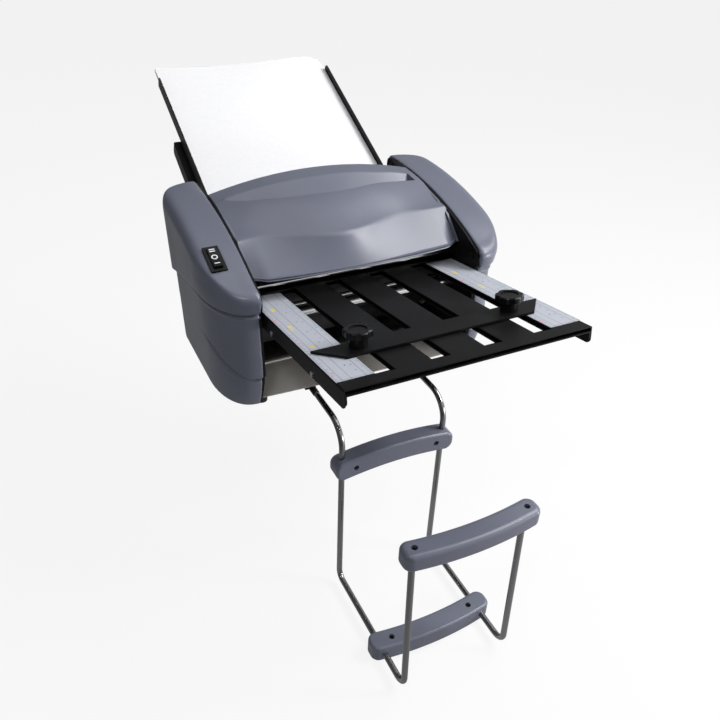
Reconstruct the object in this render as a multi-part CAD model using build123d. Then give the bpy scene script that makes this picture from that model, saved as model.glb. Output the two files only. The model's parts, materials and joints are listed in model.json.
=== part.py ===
from build123d import *
import math
import os

# Desk paper folder with a sloping feed tray at the back, a fold table at the front, a second
# one under the tray, four geared fold rollers and a wire basket that hangs over the desk edge.
# Millimetres. X runs to the right seen from the front, Y to the back, Z up.
# The origin is on the desk, midway between the rubber feet.

# Letter paper and the stack
PAPER_WIDTH = 215.9
PAPER_LENGTH = 279.4
STACK_THICKNESS = 5.0
STACK_FRONT_Y = 42.3
STACK_FRONT_Z = 131.8
TRAY_SLOPE = 25.5

# Feed tray, a folded sheet with two upturned rails
TRAY_LENGTH = 255.0
TRAY_SHEET = 1.2
RAIL_SIDE_GAP = 0.7
RAIL_SHEET = 1.4
RAIL_RISE = 7.5
RAIL_START = 12.0
RAIL_CORNER = 4.0
TRAY_EAR_START = 22.0
TRAY_EAR_LENGTH = 34.0
TRAY_EAR_RISE = 3.0

# Side frames and the base they stand on
FRAME_HALF_GAP = 117.1
FRAME_SHEET = 2.3
FRAME_INSET = 1.8
RUNNING_GAP = 0.3
BEARING_PLAY = 0.05
OVERRUN = 2.0
FOOT_HEIGHT = 9.7
FOOT_RADIUS = 6.3
FOOT_X = 113.0
FOOT_FRONT_Y = -70.0
FOOT_REAR_Y = 66.0
BASE_SHEET = 1.5
BASE_FRONT_Y = -73.5
BASE_REAR_Y = 77.5
BASE_FLANGE_RISE = 11.0
BACK_PANEL_SHEET = 1.5
BACK_PANEL_TOP = 92.0

# Exit chute below the front fold table
CHUTE_FRONT_Y = -78.0
CHUTE_LENGTH = 37.0
CHUTE_SLOPE = 20.4
CHUTE_SHEET = 1.2
CHUTE_SIDE_GAP = 0.5
CHUTE_BOW = 8.0

# Fold rollers, one above the other, each driven by its own gear
ROLLER_RADIUS = 14.0
ROLLER_HALF_LENGTH = 106.0
ROLLER_GAP = 0.3
JOURNAL_RADIUS = 5.0
NIP_1_Y = -18.9
NIP_1_Z = 103.4
NIP_3_FALL = 20.0
BUSH_WALL = 3.0
BUSH_FLANGE = 2.0
BUSH_LIP = 1.2
JOURNAL_END = 3.0

# Gears outside the right frame
GEAR_TEETH = 28
FEED_IDLER_TEETH = 34
FEED_GEAR_TEETH = 26
DRIVE_IDLER_TEETH = 36
PINION_TEETH = 18
GEAR_FACE = 9.0
GEAR_STANDOFF = 2.6
PRESSURE_ANGLE = 20.0
ADDENDUM_SHARE = 0.9
DEDENDUM_SHARE = 1.2
BACKLASH_SHARE = 0.12
FLANK_SHARES = (0.0, 0.5, 1.0)
IDLER_PIN_RADIUS = 4.0
IDLER_PIN_HEAD = 1.5
DRIVE_IDLER_ANGLE = 35.0
PINION_ANGLE = -28.0

# Feed shaft, tyres and the separator below them
FEED_TYRE_RADIUS = 15.0
FEED_HUB_RADIUS = 9.0
FEED_TYRE_WIDTH = 20.0
FEED_TYRE_X = 30.0
FEED_CONTACT = 2.0
PAD_THICKNESS = 3.0
PAD_LENGTH = 11.0
PAD_WIDTH = 18.0
PAD_LEAD_ANGLE = 20.0
SEPARATOR_HALF_WIDTH = 43.0
SEPARATOR_PLATE = 2.0
SEPARATOR_ROD_Y = 33.0
SEPARATOR_ROD_Z = 115.5
SEPARATOR_ROD_RADIUS = 4.0
SEPARATOR_CLIP_WALL = 2.4

# Sheet guide from the separator down to the first nip
GUIDE_REAR_Y = 26.0
GUIDE_REAR_Z = 121.5
GUIDE_FRONT_Y = 0.0
GUIDE_FRONT_Z = 105.5
GUIDE_SHEET = 1.2

# Motor between the frames, below the second fold table
MOTOR_RADIUS = 22.0
MOTOR_LENGTH = 78.0
MOTOR_CAP_LENGTH = 8.0
MOTOR_CAP_RADIUS = 14.0
MOTOR_SHAFT_RADIUS = 3.0
MOTOR_SHAFT_DEPTH = 24.0

# Fold tables: two slotted plates with the sheet running between them
TABLE_HALF_WIDTH = 115.8
TABLE_LENGTH = 240.0
REAR_TABLE_LENGTH = 220.0
TABLE_SLOPE = 9.225
REAR_TABLE_SLOPE = 27.5
FRONT_MOUTH_GAP = 17.0
REAR_MOUTH_GAP = 21.0
PLATE_SHEET = 1.2
PLATE_GAP = 3.4
FLANGE_DEPTH = 16.5
LOWER_FLANGE_DEPTH = 15.0
TABLE_BEND_RADIUS = 1.6
FLANGE_CORNER = 5.0
SLOT_WIDTH = 17.5
OUTER_SLOT_X = 74.3
INNER_SLOT_X = 24.8
SLOT_FRONT_MARGIN = 12.5
SLOT_REAR_MARGIN = 15.0
LOWER_SLOT_FRONT_MARGIN = 22.0
STUD_FRONT = 62.0
STUD_SPACING = 95.0
STUD_DEPTH = 13.2
STUD_RADIUS = 1.6
STUD_HEAD_RADIUS = 2.4
STUD_HEAD = 0.8

# Scale strips on the front fold table
SCALE_WIDTH = 31.7
SCALE_THICKNESS = 0.4
SCALE_START = 14.3
SCALE_END_MARGIN = 20.0
SCALE_SIDE_MARGIN = 0.5

# Sliding fold stop and its two clamp knobs
STOP_REAR = 70.5
STOP_WIDTH = 24.5
STOP_HALF_LENGTH = 112.6
STOP_TAPER = 21.5
STOP_SHEET = 2.0
STOP_LIFT = 0.9
STOP_FINGER_WIDTH = 15.0
STOP_FINGER_LENGTH = 8.0
KNOB_SETBACK = 10.0
KNOB_STEM_RADIUS = 8.0
KNOB_STEM_HEIGHT = 9.5
KNOB_HEAD_RADIUS = 12.6
KNOB_HEAD_HEIGHT = 5.5
KNOB_LOBES = 6
KNOB_FLUTE_RADIUS = 6.5
KNOB_FLUTE_REACH = 17.8
KNOB_EDGE = 1.0
KNOB_DISH_RADIUS = 7.8
KNOB_DISH_DEPTH = 1.0
CLAMP_STUD_RADIUS = 2.5
CLAMP_PLATE_WIDTH = 24.0
CLAMP_PLATE_LENGTH = 12.0
CLAMP_PLATE_SHEET = 1.4
REAR_STOP_REAR = 65.5
REAR_STOP_HALF_LENGTH = 100.0

# Cross rods between the frames
SUPPORT_ROD_RADIUS = 5.0
HOLD_ROD_RADIUS = 4.0
GUARD_ROD_RADIUS = 2.0
FRONT_SUPPORT_REACH = 25.0
FRONT_GUARD_REACH = 9.5
FRONT_HOLD_REACH = 4.5
REAR_SUPPORT_REACH = 66.0
REAR_HOLD_REACH = 14.0
HOOD_ROD_Y = 62.0
HOOD_ROD_Z = 158.0
TIE_ROD_Y = 66.0
TIE_ROD_Z = 86.0

# Side covers
COVER_WIDTH = 40.0
COVER_LEAN = 4.5
COVER_WALL = 3.0
COVER_BOTTOM = 8.5
COVER_FRONT_Y = -99.5
COVER_TOE_Y = -87.5
COVER_SWELL_Y = -102.0
COVER_LEDGE_Z = 48.0
COVER_LEDGE_RISE = 1.5
COVER_LEDGE_STEP = 3.0
COVER_WAIST_Z = 100.0
COVER_NOSE_Y = -103.0
COVER_NOSE_TOP_Z = 139.0
COVER_NOSE_DEPTH = 13.0
COVER_NOSE_FALL = 12.0
COVER_NOSE_UNDER = 5.0
COVER_NOSE_TUCK = 4.0
COVER_BROW_RISE = 0.35
COVER_TOE_FLARE = 0.45
COVER_SWELL_FLARE = 0.12
TOP_LINE_SHARES = (0.33, 0.66)
COVER_BROW_Y = -41.0
COVER_BROW_Z = 162.0
COVER_SHOULDER_Y = 14.0
COVER_SHOULDER_Z = 174.5
COVER_REAR_Y = 106.0
COVER_REAR_Z = 178.7
COVER_REAR_ROUND = 9.0
CREASE_FRONT_Z = 119.5
CREASE_FALL = 41.0
CREASE_LAP = 16.0
COVER_OVERHANG = 3.5
COVER_UNDER_ROUND = 6.0
COVER_STEP_Y = 67.0
COVER_FRONT_SWEEP = 60.0
COVER_REAR_SWEEP = 42.0
COVER_SWEEP_GAIN = 15.0
COVER_SIDE_ROUND = 11.0
COVER_SWEEP_POWER = 2.5
COVER_SECTION_SHARES = (0.0, 0.3, 0.55, 0.74, 0.86, 0.94, 0.985, 1.0)
BOSS_RADIUS = 4.5
SCREW_RADIUS = 1.5
SCREW_HEAD_RADIUS = 3.4
SCREW_HEAD = 1.8
SCREW_REACH = 7.0
UPPER_SCREW_Y = -89.0
UPPER_SCREW_Z = 131.0
LOWER_SCREW_Y = -80.0
LOWER_SCREW_Z = 26.0
REAR_SCREW_Y = 92.0
REAR_SCREW_Z = 168.0
TAIL_SCREW_Y = 58.0
TAIL_SCREW_Z = 72.0

# Top cover, a hood that bulges between the side covers
HOOD_HALF_WIDTH = 116.6
HOOD_WALL = 2.5
HOOD_REAR_Y = 60.0
HOOD_REAR_Z = 177.2
HOOD_REAR_RISE = 15.0
HOOD_CROWN_Y = 14.0
HOOD_CROWN_Z = 173.2
HOOD_CROWN_RISE = 14.5
HOOD_BROW_Y = -18.0
HOOD_BROW_Z = 167.0
HOOD_BROW_RISE = 11.5
HOOD_BROW_REACH = 10.0
HOOD_LIP_Y = -41.0
HOOD_LIP_Z = 161.0
HOOD_LIP_RISE = 2.5
HOOD_LIP_REACH = 21.0
HOOD_LIP_HALF_SPAN = 92.0
HOOD_LIP_STEP = 3.0
HOOD_LIP_MIN_STEP = 0.6
HOOD_SILL_Y = -70.0
HOOD_SILL_Z = 135.0
HOOD_SILL_REACH = 8.0
HOOD_SECTION_SHARES = (-1.0, -0.86, -0.68, -0.45, -0.22, 0.0, 0.22, 0.45, 0.68, 0.86, 1.0)
HOOD_RIB = 2.4
SCOOP_REAR_Y = 38.0
SCOOP_END_LENGTH = 18.0
SCOOP_SWELL = 22.0
SCOOP_POWER = 2.5
SCOOP_DEPTH = 6.5
SCOOP_UNDERLAP = 5.0
BISECTION_STEPS = 24

# Three-position rocker switch on the left cover
SWITCH_X = 144.5
SWITCH_Y = -51.0
SWITCH_TILT = 18.5
BEZEL_WIDTH = 15.0
BEZEL_LENGTH = 32.5
BEZEL_RIM = 1.6
BEZEL_LIP = 1.2
BEZEL_DEPTH = 16.0
BEZEL_WALL = 1.4
BEZEL_SEAT = 1.4
ROCKER_RISE = 2.4
ROCKER_DIP = 1.0
ROCKER_DEPTH = 9.0
ROCKER_PIVOT_RADIUS = 1.5

# Power inlet in the back panel
INLET_X = -72.0
INLET_Z = 46.0
INLET_FLANGE_WIDTH = 50.0
INLET_FLANGE_HEIGHT = 25.0
INLET_FLANGE = 3.0
INLET_BODY_WIDTH = 28.0
INLET_BODY_HEIGHT = 20.5
INLET_BODY_DEPTH = 20.0
INLET_WALL = 1.6
INLET_FLOOR = 3.0
INLET_BLADE_LENGTH = 12.0
INLET_BLADE_WIDTH = 4.0
INLET_BLADE_SHEET = 2.0
INLET_BLADE_SPACING = 7.0
INLET_BLADE_RISE = 3.5
INLET_CORNER = 2.5

# Wire catch basket
WIRE_RADIUS = 3.175
WIRE_X = 59.0
WIRE_Z = 4.2
WIRE_INNER_Y = -10.0
WIRE_LEG_Y = -154.2
WIRE_DROP = 212.4
WIRE_FRONT_Y = -306.6
WIRE_FRONT_LEAN = 2.7
WIRE_FRONT_HEIGHT = 185.0
WIRE_TOP_BEND = 27.0
WIRE_HEEL_BEND = 10.0
WIRE_TOE_BEND = 13.0
SOCKET_FRONT_Y = -74.0
SOCKET_LENGTH = 60.0
SOCKET_WIDTH = 12.0
SOCKET_FLOOR = 0.3
SLEEVE_WALL = 0.5
SLEEVE_LENGTH = 14.0
SLEEVE_START_GAP = 1.0

# Cross bars of the basket, two clamped halves or one capped handle
BAR_HALF_LENGTH = 71.0
UPPER_BAR_HALF_LENGTH = 68.5
BAR_FACE = 22.7
BAR_DEPTH = 20.0
BAR_BOW = 6.5
BAR_EDGE = 3.0
HANDLE_EDGE = 5.0
BAR_END_ROUND = 9.0
UPPER_BAR_Z = -45.6
LOWER_BAR_Y = -254.0
BAR_SCREW_X = 47.0
BAR_SCREW_RADIUS = 1.7
BAR_SCREW_HEAD_RADIUS = 3.0
BAR_SCREW_SINK = 3.5
BAR_SCREW_HEAD = 2.0
BAR_SCREW_LENGTH = 11.5
HANDLE_SOCKET_DEPTH = 12.0


def block(x0, x1, y0, y1, z0, z1):
    """Box between two corners."""
    box = Box(x1 - x0, y1 - y0, z1 - z0)
    return Pos((x0 + x1) / 2, (y0 + y1) / 2, (z0 + z1) / 2) * box


def bar_x(radius, x0, x1, point):
    """Round bar along X through a point of the side view."""
    rod = Cylinder(radius, x1 - x0)
    return Pos((x0 + x1) / 2, point[0], point[1]) * Rot(0, 90, 0) * rod


def polar(point, angle, distance):
    """Point of the side view at an angle, in degrees up from +Y, and a distance."""
    turn = math.radians(angle)
    return (point[0] + distance * math.cos(turn), point[1] + distance * math.sin(turn))


def side_sheet(points, x0, x1):
    """Prism along X over an outline of the side view."""
    outline = Polyline([(0, y, z) for y, z in points], close=True)
    face = Plane.YZ * Face(Wire(Plane.YZ.to_local_coords(outline).edges()))
    return Pos(x0, 0, 0) * extrude(face, amount=x1 - x0, dir=(1, 0, 0))


def circle_meet(first, reach_1, second, reach_2):
    """Point above the line of centres at given distances from two points."""
    dy = second[0] - first[0]
    dz = second[1] - first[1]
    gap = math.hypot(dy, dz)
    along = (reach_1 ** 2 - reach_2 ** 2 + gap ** 2) / (2 * gap)
    rise = math.sqrt(max(reach_1 ** 2 - along ** 2, 0))
    return (first[0] + along * dy / gap - rise * dz / gap,
            first[1] + along * dz / gap + rise * dy / gap)


# Places worked out from the sizes above, as points of the side view
FRAME_OUTER = FRAME_HALF_GAP + FRAME_SHEET
NIP_1 = (NIP_1_Y, NIP_1_Z)
ROLLER_PITCH = 2 * ROLLER_RADIUS + ROLLER_GAP
ROLLER_1 = polar(NIP_1, 90 - TABLE_SLOPE, ROLLER_PITCH / 2)
ROLLER_2 = polar(NIP_1, -90 - TABLE_SLOPE, ROLLER_PITCH / 2)
ROLLER_3 = polar(ROLLER_2, REAR_TABLE_SLOPE - 90, ROLLER_PITCH)
ROLLER_4 = polar(ROLLER_3, NIP_3_FALL - 90, ROLLER_PITCH)
ROLLERS = [ROLLER_1, ROLLER_2, ROLLER_3, ROLLER_4]
NIP_2 = polar(ROLLER_2, REAR_TABLE_SLOPE - 90, ROLLER_PITCH / 2)
GAP_MIDDLE = PLATE_SHEET + PLATE_GAP / 2
LOWER_PLATE_TOP = PLATE_SHEET + PLATE_GAP
LOWER_PLATE_BOTTOM = LOWER_PLATE_TOP + PLATE_SHEET
MODULE = ROLLER_PITCH / GEAR_TEETH
STACK_FRONT = (STACK_FRONT_Y, STACK_FRONT_Z)
FEED_CONTACT_POINT = polar(STACK_FRONT, TRAY_SLOPE, FEED_CONTACT)
FEED_CENTRE = polar(FEED_CONTACT_POINT, 90 + TRAY_SLOPE, FEED_TYRE_RADIUS + RUNNING_GAP)
FEED_IDLER = circle_meet(ROLLER_1, MODULE * (GEAR_TEETH + FEED_IDLER_TEETH) / 2,
                         FEED_CENTRE, MODULE * (FEED_IDLER_TEETH + FEED_GEAR_TEETH) / 2)
DRIVE_IDLER = polar(ROLLER_4, DRIVE_IDLER_ANGLE,
                    MODULE * (GEAR_TEETH + DRIVE_IDLER_TEETH) / 2)
MOTOR_CENTRE = polar(DRIVE_IDLER, PINION_ANGLE,
                     MODULE * (DRIVE_IDLER_TEETH + PINION_TEETH) / 2)
GEAR_X = FRAME_OUTER + GEAR_STANDOFF

FRONT_EDGE = polar(polar(NIP_1, 180 - TABLE_SLOPE, FRONT_MOUTH_GAP + TABLE_LENGTH),
                   90 - TABLE_SLOPE, GAP_MIDDLE)
REAR_EDGE = polar(polar(NIP_2, REAR_TABLE_SLOPE, REAR_MOUTH_GAP + REAR_TABLE_LENGTH),
                  90 + REAR_TABLE_SLOPE, GAP_MIDDLE)
FRONT_TABLE = Pos(0, FRONT_EDGE[0], FRONT_EDGE[1]) * Rot(-TABLE_SLOPE, 0, 0)
REAR_TABLE = Pos(0, REAR_EDGE[0], REAR_EDGE[1]) * Rot(REAR_TABLE_SLOPE, 0, 0) * Rot(0, 0, 180)
TRAY = Pos(0, STACK_FRONT_Y, STACK_FRONT_Z) * Rot(TRAY_SLOPE, 0, 0)


def front_point(along, height):
    """Side-view point of the front table, along from its outer edge and up from its top."""
    return polar(polar(FRONT_EDGE, -TABLE_SLOPE, along), 90 - TABLE_SLOPE, height)


def rear_point(along, height):
    """Side-view point of the rear table, along from its outer edge and up from its top."""
    return polar(polar(REAR_EDGE, 180 + REAR_TABLE_SLOPE, along), 90 + REAR_TABLE_SLOPE, height)


FRONT_SUPPORT_ROD = front_point(TABLE_LENGTH - FRONT_SUPPORT_REACH,
                                -FLANGE_DEPTH - SUPPORT_ROD_RADIUS)
FRONT_GUARD_ROD = front_point(TABLE_LENGTH - FRONT_GUARD_REACH,
                              -FLANGE_DEPTH - RUNNING_GAP - GUARD_ROD_RADIUS)
FRONT_HOLD_ROD = front_point(TABLE_LENGTH - FRONT_HOLD_REACH, RUNNING_GAP + HOLD_ROD_RADIUS)
REAR_SUPPORT_ROD = rear_point(REAR_TABLE_LENGTH - REAR_SUPPORT_REACH,
                              -FLANGE_DEPTH - SUPPORT_ROD_RADIUS)
REAR_HOLD_ROD = rear_point(REAR_TABLE_LENGTH - REAR_HOLD_REACH, RUNNING_GAP + HOLD_ROD_RADIUS)
HOOD_ROD = (HOOD_ROD_Y, HOOD_ROD_Z)
TIE_ROD = (TIE_ROD_Y, TIE_ROD_Z)
SEPARATOR_ROD = (SEPARATOR_ROD_Y, SEPARATOR_ROD_Z)
CROSS_RODS = [(FRONT_SUPPORT_ROD, SUPPORT_ROD_RADIUS), (FRONT_GUARD_ROD, GUARD_ROD_RADIUS),
              (FRONT_HOLD_ROD, HOLD_ROD_RADIUS),
              (REAR_SUPPORT_ROD, SUPPORT_ROD_RADIUS), (REAR_HOLD_ROD, HOLD_ROD_RADIUS),
              (HOOD_ROD, HOLD_ROD_RADIUS), (TIE_ROD, SUPPORT_ROD_RADIUS),
              (SEPARATOR_ROD, SEPARATOR_ROD_RADIUS)]
COVER_SCREWS = [(UPPER_SCREW_Y, UPPER_SCREW_Z), (LOWER_SCREW_Y, LOWER_SCREW_Z),
                (REAR_SCREW_Y, REAR_SCREW_Z), (TAIL_SCREW_Y, TAIL_SCREW_Z)]


# Side covers

def cover_top(y):
    """Height of the cover's top line at a depth, before the outer edge rounds it down."""
    stations = [(COVER_NOSE_Y, COVER_NOSE_TOP_Z),
                (COVER_BROW_Y, COVER_BROW_Z),
                (COVER_SHOULDER_Y, COVER_SHOULDER_Z),
                (COVER_REAR_Y, COVER_REAR_Z)]
    for (y0, z0), (y1, z1) in zip(stations, stations[1:]):
        if y <= y1:
            break
    return z0 + (z1 - z0) * (y - y0) / (y1 - y0)


def crease(y):
    """Height of the lower edge of the cover's upper half, which bows down to the rear."""
    part = (y - COVER_NOSE_Y) / (COVER_REAR_Y - COVER_NOSE_Y)
    return CREASE_FRONT_Z - CREASE_FALL * part ** 2


def cover_swing(share):
    """How far the front and rear corners have turned in at a share of the cover's width."""
    return 1 - math.sqrt(max(1 - share ** COVER_SWEEP_POWER, 0))


def cover_plane(share, width):
    """Plane of a section at a share of a width. It leans out with the cover's side."""
    slant = share * COVER_LEAN / COVER_REAR_Z
    return Plane(origin=(FRAME_OUTER + share * (width - COVER_LEAN), 0, 0),
                 x_dir=(0, 1, 0), z_dir=(1, 0, -slant))


def lower_section(share, inset):
    """Outline of the cover's lower half at a share of its width, moved inwards by an inset."""
    swing = cover_swing(share)
    low = COVER_BOTTOM + inset
    low_sweep = COVER_FRONT_SWEEP * swing + inset
    high_sweep = (COVER_FRONT_SWEEP + COVER_SWEEP_GAIN) * swing + inset
    mid_sweep = (low_sweep + high_sweep) / 2
    rear = COVER_STEP_Y - inset
    toe = (COVER_TOE_Y + low_sweep, low)
    ledge_y = COVER_SWELL_Y + mid_sweep
    ledge_low = (ledge_y + COVER_LEDGE_STEP * (1 - share), COVER_LEDGE_Z)
    ledge_high = (ledge_y, COVER_LEDGE_Z + COVER_LEDGE_RISE)
    waist = (COVER_FRONT_Y + high_sweep, COVER_WAIST_Z)
    top_front = (waist[0], crease(COVER_FRONT_Y) + CREASE_LAP - inset)
    top_rear = (rear, crease(COVER_STEP_Y) + CREASE_LAP - inset)
    heel = (rear, low)
    edges = [Line(heel, toe),
             Spline([toe, ledge_low],
                    tangents=[(-COVER_TOE_FLARE, 1), (-COVER_SWELL_FLARE, 1)]),
             Line(ledge_low, ledge_high),
             Spline([ledge_high, waist], tangents=[(-COVER_SWELL_FLARE, 1), (0, 1)]),
             Line(waist, top_front),
             Line(top_front, top_rear),
             Line(top_rear, heel)]
    return cover_plane(share, COVER_WIDTH - inset) * Wire(edges)


def upper_section(share, inset):
    """Outline of the cover's upper half, which overhangs the lower one, at a share of its width."""
    width = COVER_WIDTH + COVER_OVERHANG - inset
    swing = cover_swing(share)
    start = 1 - COVER_SIDE_ROUND / width
    turn = max(share - start, 0) / (1 - start)
    rounding = 1 - math.sqrt(max(1 - turn ** 2, 0))
    drop = COVER_SIDE_ROUND * rounding + inset
    rise = COVER_UNDER_ROUND * rounding + inset
    nose = COVER_NOSE_Y + (COVER_FRONT_SWEEP + COVER_SWEEP_GAIN) * swing + inset
    rear = COVER_REAR_Y - COVER_REAR_SWEEP * swing - inset
    brow = nose + COVER_NOSE_DEPTH
    nose_top = cover_top(brow) - drop
    nose_high = (nose, nose_top - COVER_NOSE_FALL)
    nose_low = (nose, crease(nose) + COVER_NOSE_UNDER + rise)
    under = (nose + COVER_NOSE_TUCK, crease(nose) + rise)
    back = rear - COVER_REAR_ROUND
    tops = [(brow, nose_top)]
    for part_share in TOP_LINE_SHARES:
        y = brow + (back - brow) * part_share
        tops.append((y, cover_top(y) - drop))
    tops.append((back, cover_top(back) - drop))
    rear_high = (rear, cover_top(back) - COVER_REAR_ROUND - drop)
    rear_low = (rear, crease(rear) + rise)
    middle = (rear + under[0]) / 2
    edges = [Spline([under, nose_low], tangents=[(-1, 0), (0, 1)]),
             Line(nose_low, nose_high),
             Spline([nose_high, tops[0]], tangents=[(0, 1), (1, COVER_BROW_RISE)]),
             Spline(tops),
             Spline([tops[-1], rear_high], tangents=[(1, 0), (0, -1)]),
             Line(rear_high, rear_low),
             ThreePointArc(rear_low, (middle, crease(middle) + rise), under)]
    return cover_plane(share, width) * Wire(edges)


def cover_form(inset):
    """Solid bounded by the cover's outer surface, moved inwards by an inset."""
    lower = Solid.make_loft([lower_section(share, inset) for share in COVER_SECTION_SHARES])
    upper = Solid.make_loft([upper_section(share, inset) for share in COVER_SECTION_SHARES])
    return lower + upper


def cover_shell():
    """Right side cover as a moulded shell with its screw bosses."""
    outer = cover_form(0)
    shell = outer - cover_form(COVER_WALL)
    for y, z in COVER_SCREWS:
        boss = bar_x(BOSS_RADIUS, FRAME_OUTER, FRAME_OUTER + COVER_WIDTH, (y, z)) & outer
        shell += boss
        shell -= bar_x(SCREW_RADIUS, FRAME_OUTER, FRAME_OUTER + SCREW_REACH, (y, z))
    return shell


def side_frame():
    """Right side frame, a steel plate just inside the cover's outline, with its holes."""
    lower = Face(lower_section(0, FRAME_INSET))
    upper = Face(upper_section(0, FRAME_INSET))
    plate = extrude(lower, amount=FRAME_SHEET, dir=(-1, 0, 0))
    plate += extrude(upper, amount=FRAME_SHEET, dir=(-1, 0, 0))
    foot = block(FRAME_HALF_GAP, FRAME_OUTER, BASE_FRONT_Y, COVER_STEP_Y - FRAME_INSET,
                 FOOT_HEIGHT, COVER_BOTTOM + 2 * FRAME_INSET)
    plate += foot
    for centre in ROLLERS + [FEED_CENTRE]:
        plate -= frame_hole(JOURNAL_RADIUS + BUSH_WALL, centre)
    for centre, radius in CROSS_RODS:
        plate -= frame_hole(radius, centre)
    for centre in COVER_SCREWS:
        plate -= frame_hole(SCREW_RADIUS, centre)
    return plate


def frame_hole(radius, centre):
    """Cutter through the right side frame."""
    return bar_x(radius, FRAME_HALF_GAP - OVERRUN, FRAME_OUTER + OVERRUN, centre)


# Top cover

def hood_line(share):
    """Points of the hood's outer line at a share of its half width, from back to front."""
    x = share * HOOD_HALF_WIDTH
    arch = 1 - share ** 2
    span = min(abs(x) / HOOD_LIP_HALF_SPAN, 1)
    bump = math.cos(span * math.pi / 2) ** 2
    blend = (arch + bump) / 2
    rear = (x, HOOD_REAR_Y, HOOD_REAR_Z + HOOD_REAR_RISE * arch)
    crown = (x, HOOD_CROWN_Y, HOOD_CROWN_Z + HOOD_CROWN_RISE * arch)
    brow = (x, HOOD_BROW_Y - HOOD_BROW_REACH * blend, HOOD_BROW_Z + HOOD_BROW_RISE * blend)
    lip = (x, HOOD_LIP_Y - HOOD_LIP_REACH * bump, HOOD_LIP_Z + HOOD_LIP_RISE * bump)
    return [rear, crown, brow, lip], arch, bump


def hood_spot(share, line, y):
    """Point of the hood's outer line at a depth."""
    curve = Spline(line)
    low, high = 0.0, 1.0
    for _ in range(BISECTION_STEPS):
        middle = (low + high) / 2
        if (curve @ middle).Y > y:
            low = middle
        else:
            high = middle
    return (share * HOOD_HALF_WIDTH, y, (curve @ low).Z)


def scoop_front(share):
    """Depth of the scoop's front edge, furthest forward in the middle."""
    swell = math.cos(share * math.pi / 2) ** SCOOP_POWER
    return SCOOP_REAR_Y - SCOOP_END_LENGTH - SCOOP_SWELL * swell


def bulge_section(share):
    """Closed outline of the hood's front shell, from the scoop's edge to the sill."""
    line, arch, bump = hood_line(share)
    x = share * HOOD_HALF_WIDTH
    edge = hood_spot(share, line, scoop_front(share))
    brow, lip = line[2], line[3]
    step = HOOD_LIP_MIN_STEP + (HOOD_LIP_STEP - HOOD_LIP_MIN_STEP) * (1 - bump)
    wall = HOOD_WALL
    tuck = (x, lip[1] + step, lip[2] - step)
    sill = (x, HOOD_SILL_Y - HOOD_SILL_REACH * arch, HOOD_SILL_Z)
    sill_in = (x, sill[1] + wall, sill[2])
    fold_in = (x, tuck[1] + wall, tuck[2] - wall / 2)
    brow_in = (x, brow[1] + wall / 2, brow[2] - wall)
    edge_in = (x, edge[1], edge[2] - wall)
    edges = [Spline([edge, brow, lip]),
             Line(lip, tuck),
             Line(tuck, sill),
             Line(sill, sill_in),
             Line(sill_in, fold_in),
             Spline([fold_in, brow_in, edge_in]),
             Line(edge_in, edge)]
    return Wire(edges)


def scoop_section(share):
    """Closed outline of the hood's rear shell, which runs down under the front one."""
    line, _, _ = hood_line(share)
    x = share * HOOD_HALF_WIDTH
    rear = line[0]
    top = hood_spot(share, line, SCOOP_REAR_Y)
    edge = hood_spot(share, line, scoop_front(share))
    floor = (x, edge[1] - SCOOP_UNDERLAP, edge[2] - SCOOP_DEPTH)
    middle = (x, (top[1] + edge[1]) / 2, (top[2] + edge[2] - SCOOP_DEPTH) / 2)
    outer = [rear, top, middle, floor]
    inner = [(point[0], point[1], point[2] - HOOD_WALL) for point in outer]
    edges = [Spline(outer),
             Line(outer[-1], inner[-1]),
             Spline(list(reversed(inner))),
             Line(inner[0], outer[0])]
    return Wire(edges)


def top_cover():
    """Hood of two thin shells with a hand-feed scoop between them, on an end rib each side."""
    shell = Solid.make_loft([bulge_section(share) for share in HOOD_SECTION_SHARES])
    back = Solid.make_loft([scoop_section(share) for share in HOOD_SECTION_SHARES])
    points = [(HOOD_REAR_Y, HOOD_REAR_Z - HOOD_WALL / 2),
              (HOOD_CROWN_Y, HOOD_CROWN_Z - HOOD_WALL / 2),
              (HOOD_BROW_Y, HOOD_BROW_Z - HOOD_WALL / 2),
              (HOOD_LIP_Y, HOOD_LIP_Z - HOOD_WALL),
              (HOOD_SILL_Y + HOOD_WALL * 2, HOOD_SILL_Z),
              (FRONT_HOLD_ROD[0] - HOLD_ROD_RADIUS, FRONT_HOLD_ROD[1]),
              (FRONT_HOLD_ROD[0] + HOLD_ROD_RADIUS, FRONT_HOLD_ROD[1]),
              (HOOD_BROW_Y, HOOD_SILL_Z),
              (HOOD_ROD_Y - HOLD_ROD_RADIUS * 3, HOOD_ROD_Z),
              (HOOD_REAR_Y, HOOD_ROD_Z)]
    rib = side_sheet(points, HOOD_HALF_WIDTH - HOOD_RIB, HOOD_HALF_WIDTH)
    for rod in (FRONT_HOLD_ROD, HOOD_ROD):
        rib -= bar_x(HOLD_ROD_RADIUS, 0, FRAME_OUTER, rod)
    rib -= bar_x(JOURNAL_RADIUS + BUSH_WALL + BUSH_FLANGE + RUNNING_GAP, 0, FRAME_OUTER,
                 FEED_CENTRE)
    return shell + back + rib + mirror(rib, about=Plane.YZ)


# Fold tables

def table_slots(length, front_margin):
    """Cutters for the four long slots of a table plate."""
    cuts = []
    for x in (-OUTER_SLOT_X, -INNER_SLOT_X, INNER_SLOT_X, OUTER_SLOT_X):
        cuts.append(block(x - SLOT_WIDTH / 2, x + SLOT_WIDTH / 2,
                          front_margin, length - SLOT_REAR_MARGIN,
                          -FLANGE_DEPTH - OVERRUN, OVERRUN))
    return cuts


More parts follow.
